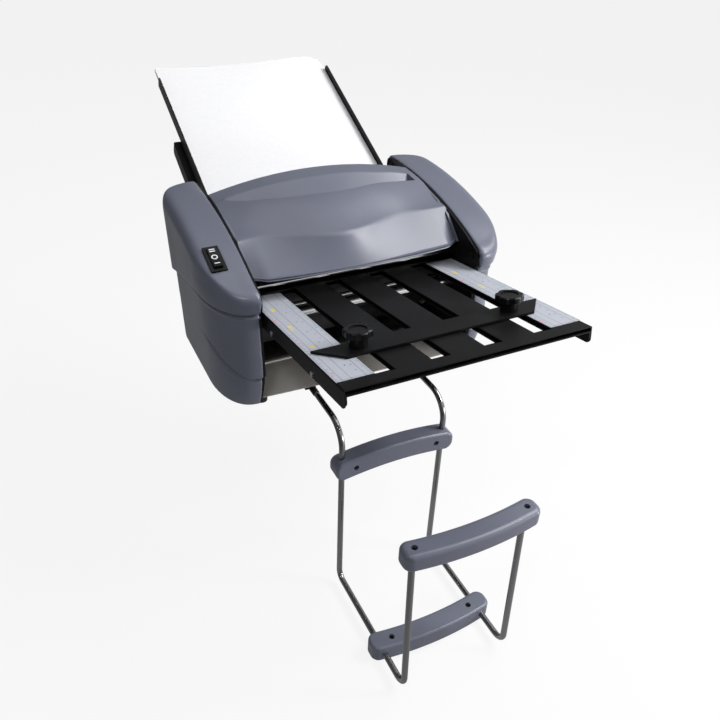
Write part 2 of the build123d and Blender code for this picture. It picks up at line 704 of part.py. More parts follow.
def table_studs(length):
    """Rivets through both flanges on each side of a table."""
    studs = []
    for along in (STUD_FRONT, STUD_FRONT + STUD_SPACING):
        shank = bar_x(STUD_RADIUS, TABLE_HALF_WIDTH - 2 * PLATE_SHEET, TABLE_HALF_WIDTH,
                      (along, -STUD_DEPTH))
        head = bar_x(STUD_HEAD_RADIUS, TABLE_HALF_WIDTH, TABLE_HALF_WIDTH + STUD_HEAD,
                     (along, -STUD_DEPTH))
        studs.append(shank + head)
    return studs + [mirror(stud, about=Plane.YZ) for stud in studs]


def table_top(length):
    """Upper plate with its side flanges turned down."""
    plate = block(-TABLE_HALF_WIDTH, TABLE_HALF_WIDTH, 0, length, -FLANGE_DEPTH, 0)
    bends = plate.edges().filter_by(Axis.Y).sort_by(Axis.Z)[-2:]
    plate = fillet(bends, TABLE_BEND_RADIUS)
    corners = plate.edges().filter_by(Axis.X).sort_by(Axis.Z)[:2]
    plate = fillet(corners, FLANGE_CORNER)
    inner = TABLE_HALF_WIDTH - PLATE_SHEET
    plate -= block(-inner, inner, -OVERRUN, length + OVERRUN,
                   -FLANGE_DEPTH - OVERRUN, -PLATE_SHEET)
    for cut in table_slots(length, SLOT_FRONT_MARGIN) + table_studs(length):
        plate -= cut
    return plate


def table_bottom(length):
    """Lower plate, riveted between the flanges of the upper one."""
    outer = TABLE_HALF_WIDTH - PLATE_SHEET
    inner = outer - PLATE_SHEET
    plate = block(-outer, outer, 0, length - PLATE_GAP, -LOWER_FLANGE_DEPTH, -LOWER_PLATE_TOP)
    corners = plate.edges().filter_by(Axis.X).sort_by(Axis.Z)[:2]
    plate = fillet(corners, FLANGE_CORNER)
    plate -= block(-inner, inner, -OVERRUN, length + OVERRUN,
                   -FLANGE_DEPTH - OVERRUN, -LOWER_PLATE_BOTTOM)
    for cut in table_slots(length, LOWER_SLOT_FRONT_MARGIN) + table_studs(length):
        plate -= cut
    return plate


def scale_strips():
    """Printed strips along both sides of the front table."""
    outer = TABLE_HALF_WIDTH - SCALE_SIDE_MARGIN
    strip = block(outer - SCALE_WIDTH, outer, SCALE_START, TABLE_LENGTH - SCALE_END_MARGIN,
                  0, SCALE_THICKNESS)
    return [strip, mirror(strip, about=Plane.YZ)]


def stop_plate(half_length, rear, low, high):
    """Flat bar with pointed ends, straight along its rear edge."""
    front = rear - STOP_WIDTH
    outline = Polyline([(-half_length, rear), (half_length, rear),
                        (half_length - STOP_TAPER, front),
                        (STOP_TAPER - half_length, front)], close=True)
    return Pos(0, 0, low) * extrude(make_face(outline), amount=high - low)


def fold_stop():
    """Front stop bar with two fingers that reach between the plates."""
    bar = stop_plate(STOP_HALF_LENGTH, STOP_REAR, STOP_LIFT, STOP_LIFT + STOP_SHEET)
    for x in (-INNER_SLOT_X, INNER_SLOT_X):
        bar += block(x - STOP_FINGER_WIDTH / 2, x + STOP_FINGER_WIDTH / 2,
                     STOP_REAR - STOP_FINGER_LENGTH, STOP_REAR,
                     RUNNING_GAP - LOWER_PLATE_TOP, STOP_LIFT)
    for x in (-OUTER_SLOT_X, OUTER_SLOT_X):
        bar -= stud_hole(x, STOP_REAR)
    return bar


def rear_stop():
    """Rear stop bar, below the lower plate, with fingers that reach up between the plates."""
    high = -LOWER_PLATE_BOTTOM - STOP_LIFT
    bar = stop_plate(REAR_STOP_HALF_LENGTH, REAR_STOP_REAR, high - STOP_SHEET, high)
    for x in (-INNER_SLOT_X, INNER_SLOT_X):
        bar += block(x - STOP_FINGER_WIDTH / 2, x + STOP_FINGER_WIDTH / 2,
                     REAR_STOP_REAR - STOP_FINGER_LENGTH, REAR_STOP_REAR,
                     high, -PLATE_SHEET - RUNNING_GAP)
    for x in (-OUTER_SLOT_X, OUTER_SLOT_X):
        bar -= stud_hole(x, REAR_STOP_REAR)
    return bar


def stud_hole(x, rear):
    """Cutter for the clamp stud of a knob."""
    return Pos(x, rear - KNOB_SETBACK, 0) * Cylinder(CLAMP_STUD_RADIUS + BEARING_PLAY,
                                                     2 * FLANGE_DEPTH)


def clamp_plates(rear, high):
    """Two plates between the table plates, pulled up against one of them by the studs."""
    plates = []
    for x in (-OUTER_SLOT_X, OUTER_SLOT_X):
        middle = rear - KNOB_SETBACK
        plate = block(x - CLAMP_PLATE_WIDTH / 2, x + CLAMP_PLATE_WIDTH / 2,
                      middle - CLAMP_PLATE_LENGTH / 2, middle + CLAMP_PLATE_LENGTH / 2,
                      high - CLAMP_PLATE_SHEET, high)
        plates.append(plate - stud_hole(x, rear))
    return plates


def knob(stud_length):
    """Lobed clamp knob standing on Z = 0, with its threaded stud below."""
    head = Cylinder(KNOB_HEAD_RADIUS, KNOB_HEAD_HEIGHT)
    for turn in range(KNOB_LOBES):
        flute = Cylinder(KNOB_FLUTE_RADIUS, 2 * KNOB_HEAD_HEIGHT)
        head -= Rot(0, 0, 360 * turn / KNOB_LOBES) * Pos(KNOB_FLUTE_REACH, 0, 0) * flute
    head = chamfer(head.faces().sort_by(Axis.Z)[-1].edges(), KNOB_EDGE)
    dish = Pos(0, 0, KNOB_HEAD_HEIGHT / 2 - KNOB_DISH_DEPTH / 2)
    head -= dish * Cylinder(KNOB_DISH_RADIUS, KNOB_DISH_DEPTH)
    head = Pos(0, 0, KNOB_STEM_HEIGHT + KNOB_HEAD_HEIGHT / 2) * head
    stem = Pos(0, 0, KNOB_STEM_HEIGHT / 2) * Cylinder(KNOB_STEM_RADIUS, KNOB_STEM_HEIGHT)
    stud = Pos(0, 0, -stud_length / 2) * Cylinder(CLAMP_STUD_RADIUS, stud_length)
    return head + stem + stud


# Rollers, shafts and gears

def gear_profile(teeth, phase):
    """Outline of an involute spur gear about the origin, first tooth at a phase in degrees."""
    pitch = MODULE * teeth / 2
    base = pitch * math.cos(math.radians(PRESSURE_ANGLE))
    tip = pitch + ADDENDUM_SHARE * MODULE
    root = pitch - DEDENDUM_SHARE * MODULE
    flank_start = max(base, root)

    def involute(radius):
        angle = math.acos(min(base / radius, 1))
        return math.tan(angle) - angle

    half = math.pi / (2 * teeth) * (1 - BACKLASH_SHARE) + involute(pitch)
    points = []
    for tooth in range(teeth):
        middle = math.radians(phase) + 2 * math.pi * tooth / teeth
        flank = []
        for share in FLANK_SHARES:
            radius = flank_start + (tip - flank_start) * share
            flank.append((radius, half - involute(radius)))
        left = [(root, flank[0][1])] + flank if root < flank_start else flank
        for radius, turn in left:
            points.append((radius * math.cos(middle - turn), radius * math.sin(middle - turn)))
        for radius, turn in reversed(left):
            points.append((radius * math.cos(middle + turn), radius * math.sin(middle + turn)))
    return points


def gear(teeth, phase, centre, bore):
    """Spur gear outside the right frame. Its angles are counted from +Y towards +Z."""
    outline = [(centre[0] + y, centre[1] + z) for y, z in gear_profile(teeth, phase)]
    wheel = side_sheet(outline, GEAR_X, GEAR_X + GEAR_FACE)
    return wheel - bar_x(bore, GEAR_X - OVERRUN, GEAR_X + GEAR_FACE + OVERRUN, centre)


def mesh_phase(phase, teeth, centre, next_teeth, next_centre):
    """Phase that puts the next gear's teeth in the gaps of this one."""
    line = math.degrees(math.atan2(next_centre[1] - centre[1], next_centre[0] - centre[0]))
    pitch = 360 / teeth
    part = ((line - phase) / pitch) % 1
    return line + 180 + (part + 0.5) * 360 / next_teeth


def gear_phases():
    """Phases of the whole train, worked out from the top fold roller."""
    phases = {"roller_1": 0}
    phases["roller_2"] = mesh_phase(phases["roller_1"], GEAR_TEETH, ROLLER_1,
                                    GEAR_TEETH, ROLLER_2)
    phases["roller_3"] = mesh_phase(phases["roller_2"], GEAR_TEETH, ROLLER_2,
                                    GEAR_TEETH, ROLLER_3)
    phases["roller_4"] = mesh_phase(phases["roller_3"], GEAR_TEETH, ROLLER_3,
                                    GEAR_TEETH, ROLLER_4)
    phases["feed_idler"] = mesh_phase(phases["roller_1"], GEAR_TEETH, ROLLER_1,
                                      FEED_IDLER_TEETH, FEED_IDLER)
    phases["feed"] = mesh_phase(phases["feed_idler"], FEED_IDLER_TEETH, FEED_IDLER,
                                FEED_GEAR_TEETH, FEED_CENTRE)
    phases["drive_idler"] = mesh_phase(phases["roller_4"], GEAR_TEETH, ROLLER_4,
                                       DRIVE_IDLER_TEETH, DRIVE_IDLER)
    phases["pinion"] = mesh_phase(phases["drive_idler"], DRIVE_IDLER_TEETH, DRIVE_IDLER,
                                  PINION_TEETH, MOTOR_CENTRE)
    return phases


def fold_roller(centre):
    """Covered roller with journals that run in both frames and carry the gear."""
    barrel = bar_x(ROLLER_RADIUS, -ROLLER_HALF_LENGTH, ROLLER_HALF_LENGTH, centre)
    left = -FRAME_OUTER - JOURNAL_END
    right = GEAR_X + GEAR_FACE + JOURNAL_END
    return barrel + bar_x(JOURNAL_RADIUS, left, right, centre)


def bush(centre):
    """Flanged bush pressed into the right frame from inside."""
    ring = bar_x(JOURNAL_RADIUS + BUSH_WALL, FRAME_HALF_GAP, FRAME_OUTER + BUSH_LIP, centre)
    flange = bar_x(JOURNAL_RADIUS + BUSH_WALL + BUSH_FLANGE, FRAME_HALF_GAP - BUSH_LIP,
                   FRAME_HALF_GAP, centre)
    bore = bar_x(JOURNAL_RADIUS + BEARING_PLAY, FRAME_HALF_GAP - OVERRUN,
                 FRAME_OUTER + OVERRUN, centre)
    return ring + flange - bore


def idler_pin(centre):
    """Headed pin, riveted into the right frame, that an idler gear turns on."""
    end = GEAR_X + GEAR_FACE + RUNNING_GAP
    shank = bar_x(IDLER_PIN_RADIUS, FRAME_OUTER, end, centre)
    collar = bar_x(IDLER_PIN_RADIUS + OVERRUN, FRAME_OUTER, GEAR_X - RUNNING_GAP, centre)
    head = bar_x(IDLER_PIN_RADIUS + OVERRUN, end, end + IDLER_PIN_HEAD, centre)
    return shank + collar + head


def feed_shaft():
    """Feed shaft with a hub under each tyre."""
    shaft = bar_x(JOURNAL_RADIUS, -FRAME_OUTER - JOURNAL_END,
                  GEAR_X + GEAR_FACE + JOURNAL_END, FEED_CENTRE)
    for x in (-FEED_TYRE_X, FEED_TYRE_X):
        shaft += bar_x(FEED_HUB_RADIUS, x - FEED_TYRE_WIDTH / 2 - OVERRUN,
                       x + FEED_TYRE_WIDTH / 2 + OVERRUN, FEED_CENTRE)
    return shaft


def feed_tyres():
    """Rubber tyres on the hubs."""
    tyres = []
    for x in (-FEED_TYRE_X, FEED_TYRE_X):
        low = x - FEED_TYRE_WIDTH / 2
        high = x + FEED_TYRE_WIDTH / 2
        ring = bar_x(FEED_TYRE_RADIUS, low, high, FEED_CENTRE)
        tyres.append(ring - bar_x(FEED_HUB_RADIUS, low, high, FEED_CENTRE))
    return tyres


# Separator and sheet guide

PAD_ANGLE = TRAY_SLOPE - PAD_LEAD_ANGLE
PAD_TOP = polar(FEED_CENTRE, PAD_ANGLE - 90, FEED_TYRE_RADIUS + RUNNING_GAP)
PAD_REAR = polar(PAD_TOP, PAD_ANGLE, FEED_CONTACT)
PAD_FRONT = polar(PAD_REAR, 180 + PAD_ANGLE, PAD_LENGTH)


def separator_pads():
    """Rubber pads that hold back all but the top sheet."""
    low_rear = polar(PAD_REAR, PAD_ANGLE - 90, PAD_THICKNESS)
    low_front = polar(PAD_FRONT, PAD_ANGLE - 90, PAD_THICKNESS)
    pad = side_sheet([PAD_REAR, PAD_FRONT, low_front, low_rear],
                     FEED_TYRE_X - PAD_WIDTH / 2, FEED_TYRE_X + PAD_WIDTH / 2)
    return [pad, mirror(pad, about=Plane.YZ)]


def separator_bracket():
    """Plate under the pads on a clip around its cross rod."""
    top_rear = polar(PAD_REAR, PAD_ANGLE - 90, PAD_THICKNESS)
    top_front = polar(PAD_FRONT, PAD_ANGLE - 90, PAD_THICKNESS)
    low_rear = polar(top_rear, PAD_ANGLE - 90, SEPARATOR_PLATE)
    low_front = polar(top_front, PAD_ANGLE - 90, SEPARATOR_PLATE)
    width = SEPARATOR_HALF_WIDTH
    plate = side_sheet([top_rear, top_front, low_front, low_rear], -width, width)
    radius = SEPARATOR_ROD_RADIUS + SEPARATOR_CLIP_WALL
    clip = bar_x(radius, -width, width, SEPARATOR_ROD)
    neck = side_sheet([low_rear, low_front, (SEPARATOR_ROD_Y - radius, SEPARATOR_ROD_Z),
                       (SEPARATOR_ROD_Y + radius, SEPARATOR_ROD_Z)], -width, width)
    return plate + clip + neck - bar_x(SEPARATOR_ROD_RADIUS, -FRAME_OUTER, FRAME_OUTER,
                                       SEPARATOR_ROD)


def sheet_guide():
    """Sheet that leads the paper down to the first nip."""
    rear = (GUIDE_REAR_Y, GUIDE_REAR_Z)
    front = (GUIDE_FRONT_Y, GUIDE_FRONT_Z)
    slope = math.degrees(math.atan2(rear[1] - front[1], rear[0] - front[0]))
    width = FRAME_HALF_GAP
    return side_sheet([rear, front, polar(front, slope - 90, GUIDE_SHEET),
                       polar(rear, slope - 90, GUIDE_SHEET)], -width, width)


# Base, chute, panel and rods

def base_pan():
    """Folded base with flanges up along both frames."""
    top = FOOT_HEIGHT + BASE_FLANGE_RISE
    pan = block(-FRAME_HALF_GAP, FRAME_HALF_GAP, BASE_FRONT_Y, BASE_REAR_Y, FOOT_HEIGHT, top)
    inner = FRAME_HALF_GAP - BASE_SHEET
    pan -= block(-inner, inner, BASE_FRONT_Y - OVERRUN, BASE_REAR_Y + OVERRUN,
                 FOOT_HEIGHT + BASE_SHEET, top + OVERRUN)
    for side in (-1, 1):
        x = side * FRAME_HALF_GAP
        pan -= block(x - 2 * BASE_SHEET, x + 2 * BASE_SHEET, BASE_FRONT_Y - OVERRUN,
                     BASE_FRONT_Y + CHUTE_LENGTH, FOOT_HEIGHT + BASE_SHEET, top + OVERRUN)
    return pan


def exit_chute():
    """Sloping sheet with a level bowed lip that drops the folded paper over the front."""
    front = (CHUTE_FRONT_Y, FOOT_HEIGHT)
    rear = polar(front, CHUTE_SLOPE, CHUTE_LENGTH)
    width = FRAME_HALF_GAP - CHUTE_SIDE_GAP
    deck = side_sheet([front, rear, polar(rear, CHUTE_SLOPE + 90, CHUTE_SHEET),
                       polar(front, CHUTE_SLOPE + 90, CHUTE_SHEET)], -width, width)
    bow = ThreePointArc((-width, CHUTE_FRONT_Y), (0, CHUTE_FRONT_Y - CHUTE_BOW),
                        (width, CHUTE_FRONT_Y))
    plan = make_face(Wire([bow.edge(), Line((width, CHUTE_FRONT_Y), (-width, CHUTE_FRONT_Y)).edge()]))
    deck += Pos(0, 0, FOOT_HEIGHT) * extrude(plan, amount=CHUTE_SHEET)
    floor = FOOT_HEIGHT + BASE_SHEET
    start = BASE_SHEET / math.tan(math.radians(CHUTE_SLOPE))
    leg = side_sheet([(CHUTE_FRONT_Y + start, floor), (rear[0], floor), rear],
                     width - CHUTE_SHEET, width)
    return deck + leg + mirror(leg, about=Plane.YZ)


def back_panel():
    """Rear panel between the frames, with a cut-out for the inlet."""
    panel = block(-FRAME_HALF_GAP, FRAME_HALF_GAP, BASE_REAR_Y - BACK_PANEL_SHEET, BASE_REAR_Y,
                  FOOT_HEIGHT + BASE_SHEET, BACK_PANEL_TOP)
    inner = FRAME_HALF_GAP - BASE_SHEET
    for side in (-1, 1):
        x = side * FRAME_HALF_GAP
        panel -= block(x - side * BASE_SHEET - BASE_SHEET, x - side * BASE_SHEET + BASE_SHEET,
                       BASE_REAR_Y - OVERRUN, BASE_REAR_Y + OVERRUN,
                       FOOT_HEIGHT, FOOT_HEIGHT + BASE_FLANGE_RISE) - block(
                           -inner, inner, BASE_REAR_Y - OVERRUN, BASE_REAR_Y + OVERRUN,
                           0, BACK_PANEL_TOP)
    return panel - inlet_housing(BACK_PANEL_SHEET)


def inlet_housing(extra):
    """Outer body of the inlet behind its flange."""
    body = block(INLET_X - INLET_BODY_WIDTH / 2, INLET_X + INLET_BODY_WIDTH / 2,
                 BASE_REAR_Y - INLET_BODY_DEPTH, BASE_REAR_Y + extra,
                 INLET_Z - INLET_BODY_HEIGHT / 2, INLET_Z + INLET_BODY_HEIGHT / 2)
    return fillet(body.edges().filter_by(Axis.Y), INLET_CORNER)


def inlet_socket():
    """Three-pin appliance inlet on the back panel."""
    flange = block(INLET_X - INLET_FLANGE_WIDTH / 2, INLET_X + INLET_FLANGE_WIDTH / 2,
                   BASE_REAR_Y, BASE_REAR_Y + INLET_FLANGE,
                   INLET_Z - INLET_FLANGE_HEIGHT / 2, INLET_Z + INLET_FLANGE_HEIGHT / 2)
    flange = fillet(flange.edges().filter_by(Axis.Y), INLET_CORNER)
    socket = flange + inlet_housing(0)
    half_width = INLET_BODY_WIDTH / 2 - INLET_WALL
    half_height = INLET_BODY_HEIGHT / 2 - INLET_WALL
    floor = BASE_REAR_Y - INLET_BODY_DEPTH + INLET_FLOOR
    cavity = block(INLET_X - half_width, INLET_X + half_width, floor,
                   BASE_REAR_Y + INLET_FLANGE + OVERRUN,
                   INLET_Z - half_height, INLET_Z + half_height)
    socket -= fillet(cavity.edges().filter_by(Axis.Y), INLET_CORNER)
    for step in (-1, 0, 1):
        x = INLET_X + step * INLET_BLADE_SPACING
        z = INLET_Z + (INLET_BLADE_RISE if step == 0 else -INLET_BLADE_RISE)
        socket += block(x - INLET_BLADE_SHEET / 2, x + INLET_BLADE_SHEET / 2,
                        floor, floor + INLET_BLADE_LENGTH,
                        z - INLET_BLADE_WIDTH / 2, z + INLET_BLADE_WIDTH / 2)
    return socket


def rubber_feet():
    """Four round feet under the base."""
    feet = []
    for x in (-FOOT_X, FOOT_X):
        for y in (FOOT_FRONT_Y, FOOT_REAR_Y):
            feet.append(Pos(x, y, FOOT_HEIGHT / 2) * Cylinder(FOOT_RADIUS, FOOT_HEIGHT))
    return feet


def cover_screws():
    """Pan-head screws that hold both side covers to the frames."""
    screws = []
    for centre in COVER_SCREWS:
        head = bar_x(SCREW_HEAD_RADIUS, FRAME_HALF_GAP - SCREW_HEAD, FRAME_HALF_GAP, centre)
        shank = bar_x(SCREW_RADIUS, FRAME_HALF_GAP, FRAME_OUTER + SCREW_REACH, centre)
        screws.append(head + shank)
    return screws + [mirror(screw, about=Plane.YZ) for screw in screws]


# Motor

def motor():
    """Motor, screwed to the right frame, with a bore for its shaft."""
    end = FRAME_HALF_GAP
    can = bar_x(MOTOR_RADIUS, end - MOTOR_LENGTH, end, MOTOR_CENTRE)
    can += bar_x(MOTOR_CAP_RADIUS, end - MOTOR_LENGTH - MOTOR_CAP_LENGTH, end - MOTOR_LENGTH,
                 MOTOR_CENTRE)
    return can - bar_x(MOTOR_SHAFT_RADIUS + BEARING_PLAY, end - MOTOR_SHAFT_DEPTH,
                       end + OVERRUN, MOTOR_CENTRE)


def motor_pinion(phase):
    """Pinion on the motor's shaft."""
    end = FRAME_HALF_GAP - MOTOR_SHAFT_DEPTH
    shaft = bar_x(MOTOR_SHAFT_RADIUS, end, GEAR_X + GEAR_FACE, MOTOR_CENTRE)
    wheel = gear(PINION_TEETH, phase, MOTOR_CENTRE, MOTOR_SHAFT_RADIUS)
    return wheel + shaft


# Tray and stack

def paper_stack():
    """Stack of letter sheets on the tray."""
    return TRAY * block(-PAPER_WIDTH / 2, PAPER_WIDTH / 2, 0, PAPER_LENGTH, -STACK_THICKNESS, 0)


def paper_tray():
    """Folded tray with a rail along each side of the paper and an ear to each frame."""
    inner = PAPER_WIDTH / 2 + RAIL_SIDE_GAP
    outer = inner + RAIL_SHEET
    low = -STACK_THICKNESS - TRAY_SHEET
    floor = block(-outer, outer, 0, TRAY_LENGTH, low, -STACK_THICKNESS)
    rail = block(inner, outer, RAIL_START, TRAY_LENGTH, low, RAIL_RISE)
    tops = rail.edges().filter_by(Axis.X).sort_by(Axis.Z)[-2:]
    rail = fillet(tops, RAIL_CORNER)
    rail += block(inner, FRAME_HALF_GAP, TRAY_EAR_START, TRAY_EAR_START + TRAY_EAR_LENGTH,
                  low, TRAY_EAR_RISE)
    return TRAY * (floor + rail + mirror(rail, about=Plane.YZ))


# Switch

SWITCH_Z = cover_top(SWITCH_Y)
SWITCH = Pos(-SWITCH_X, SWITCH_Y, SWITCH_Z - BEZEL_SEAT) * Rot(SWITCH_TILT, 0, 0)


def bezel_block(lip):
    """Outside of the bezel: its rim and the body below it."""
    rim = block(-BEZEL_WIDTH / 2, BEZEL_WIDTH / 2, -BEZEL_LENGTH / 2, BEZEL_LENGTH / 2, 0, lip)
    half_width = BEZEL_WIDTH / 2 - BEZEL_RIM
    half_length = BEZEL_LENGTH / 2 - BEZEL_RIM
    body = block(-half_width, half_width, -half_length, half_length, -BEZEL_DEPTH, 0)
    return rim + body


def switch_bezel():
    """Frame of the rocker switch."""
    half_width = BEZEL_WIDTH / 2 - BEZEL_RIM - BEZEL_WALL
    half_length = BEZEL_LENGTH / 2 - BEZEL_RIM - BEZEL_WALL
    well = block(-half_width, half_width, -half_length, half_length,
                 BEZEL_WALL - BEZEL_DEPTH, BEZEL_LIP + BEZEL_SEAT + OVERRUN)
    pivot = bar_x(ROCKER_PIVOT_RADIUS + BEARING_PLAY, -half_width - BEZEL_WALL,
                  half_width + BEZEL_WALL, (0, 0))
    return SWITCH * (bezel_block(BEZEL_LIP + BEZEL_SEAT) - well - pivot)


def switch_rocker():
    """Rocker with a shallow V top, on a pivot across the bezel."""
    half_width = BEZEL_WIDTH / 2 - BEZEL_RIM - BEZEL_WALL - RUNNING_GAP
    half_length = BEZEL_LENGTH / 2 - BEZEL_RIM - BEZEL_WALL - 3 * RUNNING_GAP
    high = BEZEL_LIP + BEZEL_SEAT + ROCKER_RISE
    waist = BEZEL_LIP + BEZEL_SEAT + ROCKER_RISE - ROCKER_DIP
    foot = half_length - ROCKER_RISE
    points = [(-half_length, high), (0, waist), (half_length, high), (half_length, 0),
              (foot, -ROCKER_DEPTH / 2), (-foot, -ROCKER_DEPTH / 2), (-half_length, 0)]
    rocker = side_sheet(points, -half_width, half_width)
    rocker += bar_x(ROCKER_PIVOT_RADIUS, -half_width - BEZEL_WALL, half_width + BEZEL_WALL, (0, 0))
    return SWITCH * rocker


# Catch basket

def wire_route(x):
    """Centre line of one basket wire."""
    bottom = WIRE_Z - WIRE_DROP
    lean = math.radians(WIRE_FRONT_LEAN)
    top = (x, WIRE_FRONT_Y + WIRE_FRONT_HEIGHT * math.tan(lean), bottom + WIRE_FRONT_HEIGHT)
    points = [(x, WIRE_INNER_Y, WIRE_Z), (x, WIRE_LEG_Y, WIRE_Z), (x, WIRE_LEG_Y, bottom),
              (x, WIRE_FRONT_Y, bottom), top]
    return FilletPolyline(points, radius=[WIRE_TOP_BEND, WIRE_HEEL_BEND, WIRE_TOE_BEND])


def wire(x, radius):
    """Round wire along the basket's route."""
    route = wire_route(x)
    start = Plane(origin=route @ 0, z_dir=route % 0)
    return sweep(start * Circle(radius), path=route)


def bar_form(half, edge):
    """Bowed bar along X with its screw face up and its bow towards -Y."""
    face = BAR_FACE / 2
    front = ThreePointArc((-half, -face), (0, -face - BAR_BOW), (half, -face))
    back = ThreePointArc((half, face), (0, face - BAR_BOW), (-half, face))
    outline = Wire([front.edge(), Line((half, -face), (half, face)).edge(), back.edge(),
                    Line((-half, face), (-half, -face)).edge()])
    bar = Pos(0, 0, -BAR_DEPTH / 2) * extrude(Face(outline), amount=BAR_DEPTH)
    bar = fillet(bar.edges().filter_by(Axis.Z), BAR_END_ROUND)
    rims = bar.faces().sort_by(Axis.Z)[-1].edges() + bar.faces().sort_by(Axis.Z)[0].edges()
    return fillet(rims, edge)


def bar_screw_places(x_place, turn, length):
    """Screws of a given length through the screw face of a bar, on both sides of its middle."""
    screws = []
    sink = BAR_DEPTH / 2 - BAR_SCREW_SINK
    for x in (-x_place, x_place):
        bow = BAR_BOW * (1 - (x / BAR_HALF_LENGTH) ** 2)
        head = Cylinder(BAR_SCREW_HEAD_RADIUS, BAR_SCREW_HEAD)
        shank = Cylinder(BAR_SCREW_RADIUS, length)
        screw = Pos(0, 0, sink - BAR_SCREW_HEAD / 2) * head
        screw += Pos(0, 0, sink - BAR_SCREW_HEAD - length / 2) * shank
        screws.append(turn * Pos(x, -bow, 0) * screw)
    return screws


def screw_wells(x_place, turn):
    """Cutters that open the screw heads to the bar's face."""
    wells = []
    for x in (-x_place, x_place):
        bow = BAR_BOW * (1 - (x / BAR_HALF_LENGTH) ** 2)
        well = Cylinder(BAR_SCREW_HEAD_RADIUS, 2 * BAR_SCREW_SINK)
        wells.append(turn * Pos(x, -bow, BAR_DEPTH / 2) * well)
    return wells


UPPER_BAR = Pos(0, WIRE_LEG_Y, UPPER_BAR_Z) * Rot(90, 0, 0) * Rot(0, 0, 180)
LOWER_BAR = Pos(0, LOWER_BAR_Y, WIRE_Z - WIRE_DROP)
HANDLE_TOP = WIRE_Z - WIRE_DROP + WIRE_FRONT_HEIGHT
HANDLE_Y = WIRE_FRONT_Y + WIRE_FRONT_HEIGHT * math.tan(math.radians(WIRE_FRONT_LEAN))
HANDLE_SCREW_LENGTH = BAR_DEPTH - HANDLE_SOCKET_DEPTH - BAR_SCREW_SINK - BAR_SCREW_HEAD - RUNNING_GAP
HANDLE = Pos(0, HANDLE_Y, HANDLE_TOP - HANDLE_SOCKET_DEPTH + BAR_DEPTH / 2)


def bar_halves(turn, wires, half):
    """Outer and inner half of a clamped bar, split through the wires."""
    whole = turn * bar_form(half, BAR_EDGE)
    screws = bar_screw_places(BAR_SCREW_X, turn, BAR_SCREW_LENGTH)
    for piece in wires + screws + screw_wells(BAR_SCREW_X, turn):
        whole -= piece
    reach = 2 * BAR_HALF_LENGTH
    outer = whole & (turn * block(-reach, reach, -reach, reach, 0, BAR_DEPTH))
    inner = whole & (turn * block(-reach, reach, -reach, reach, -BAR_DEPTH, 0))
    return outer, inner


def basket_handle(wires):
    """Front bar, closed over the ends of both wires."""
    bar = HANDLE * bar_form(BAR_HALF_LENGTH, HANDLE_EDGE)
    screws = bar_screw_places(WIRE_X, HANDLE, HANDLE_SCREW_LENGTH)
    for piece in wires + screws + screw_wells(WIRE_X, HANDLE):
        bar -= piece
    return bar


def wire_sockets():
    """Blocks under the base that the basket wires push into."""
    sockets = []
    for x in (-WIRE_X, WIRE_X):
        holder = block(x - SOCKET_WIDTH / 2, x + SOCKET_WIDTH / 2, SOCKET_FRONT_Y,
                       SOCKET_FRONT_Y + SOCKET_LENGTH, SOCKET_FLOOR, FOOT_HEIGHT)
        bore = Pos(x, SOCKET_FRONT_Y + SOCKET_LENGTH / 2, WIRE_Z) * Rot(90, 0, 0)
        holder -= bore * Cylinder(WIRE_RADIUS + BEARING_PLAY, 2 * SOCKET_LENGTH)
        sockets.append(holder)
    return sockets


def wire_sleeves():
    """Short black sleeves on the wires, just outside the sockets."""
    sleeves = []
    for x in (-WIRE_X, WIRE_X):
        middle = SOCKET_FRONT_Y - SLEEVE_START_GAP - SLEEVE_LENGTH / 2
        place = Pos(x, middle, WIRE_Z) * Rot(90, 0, 0)
        ring = Cylinder(WIRE_RADIUS + SLEEVE_WALL, SLEEVE_LENGTH)
        sleeves.append(place * (ring - Cylinder(WIRE_RADIUS, 2 * SLEEVE_LENGTH)))
    return sleeves


def save(name, shape):
    """Write one sub-part, alone or as a group of separate solids."""
    if isinstance(shape, list):
        shape = Compound(children=[solid for piece in shape for solid in piece.solids()])
    export_step(shape, os.path.join("parts", name + ".step"))


def build_housing():
    """Base, frames, covers and what is fixed to them."""
    frame = side_frame()
    cover = cover_shell()
    left_cover = mirror(cover, about=Plane.YZ) - SWITCH * bezel_block(BEZEL_DEPTH)
    frame_right = frame - frame_hole(2 * MOTOR_SHAFT_RADIUS, MOTOR_CENTRE)
    for centre in (FEED_IDLER, DRIVE_IDLER):
        frame_right += idler_pin(centre)
    save("base_pan", base_pan())
    save("exit_chute", exit_chute())
    save("rubber_feet", rubber_feet())
    save("right_side_frame", frame_right)
    save("left_side_frame", mirror(frame, about=Plane.YZ))
    save("right_side_cover", cover)
    save("left_side_cover", left_cover)
    save("top_cover", top_cover())
    save("back_panel", back_panel())
    save("inlet_socket", inlet_socket())
    save("cover_screws", cover_screws())
    save("cross_rods", [bar_x(radius, -FRAME_OUTER, FRAME_OUTER, centre)
                        for centre, radius in CROSS_RODS])
    save("switch_bezel", switch_bezel())
    save("switch_rocker", switch_rocker())


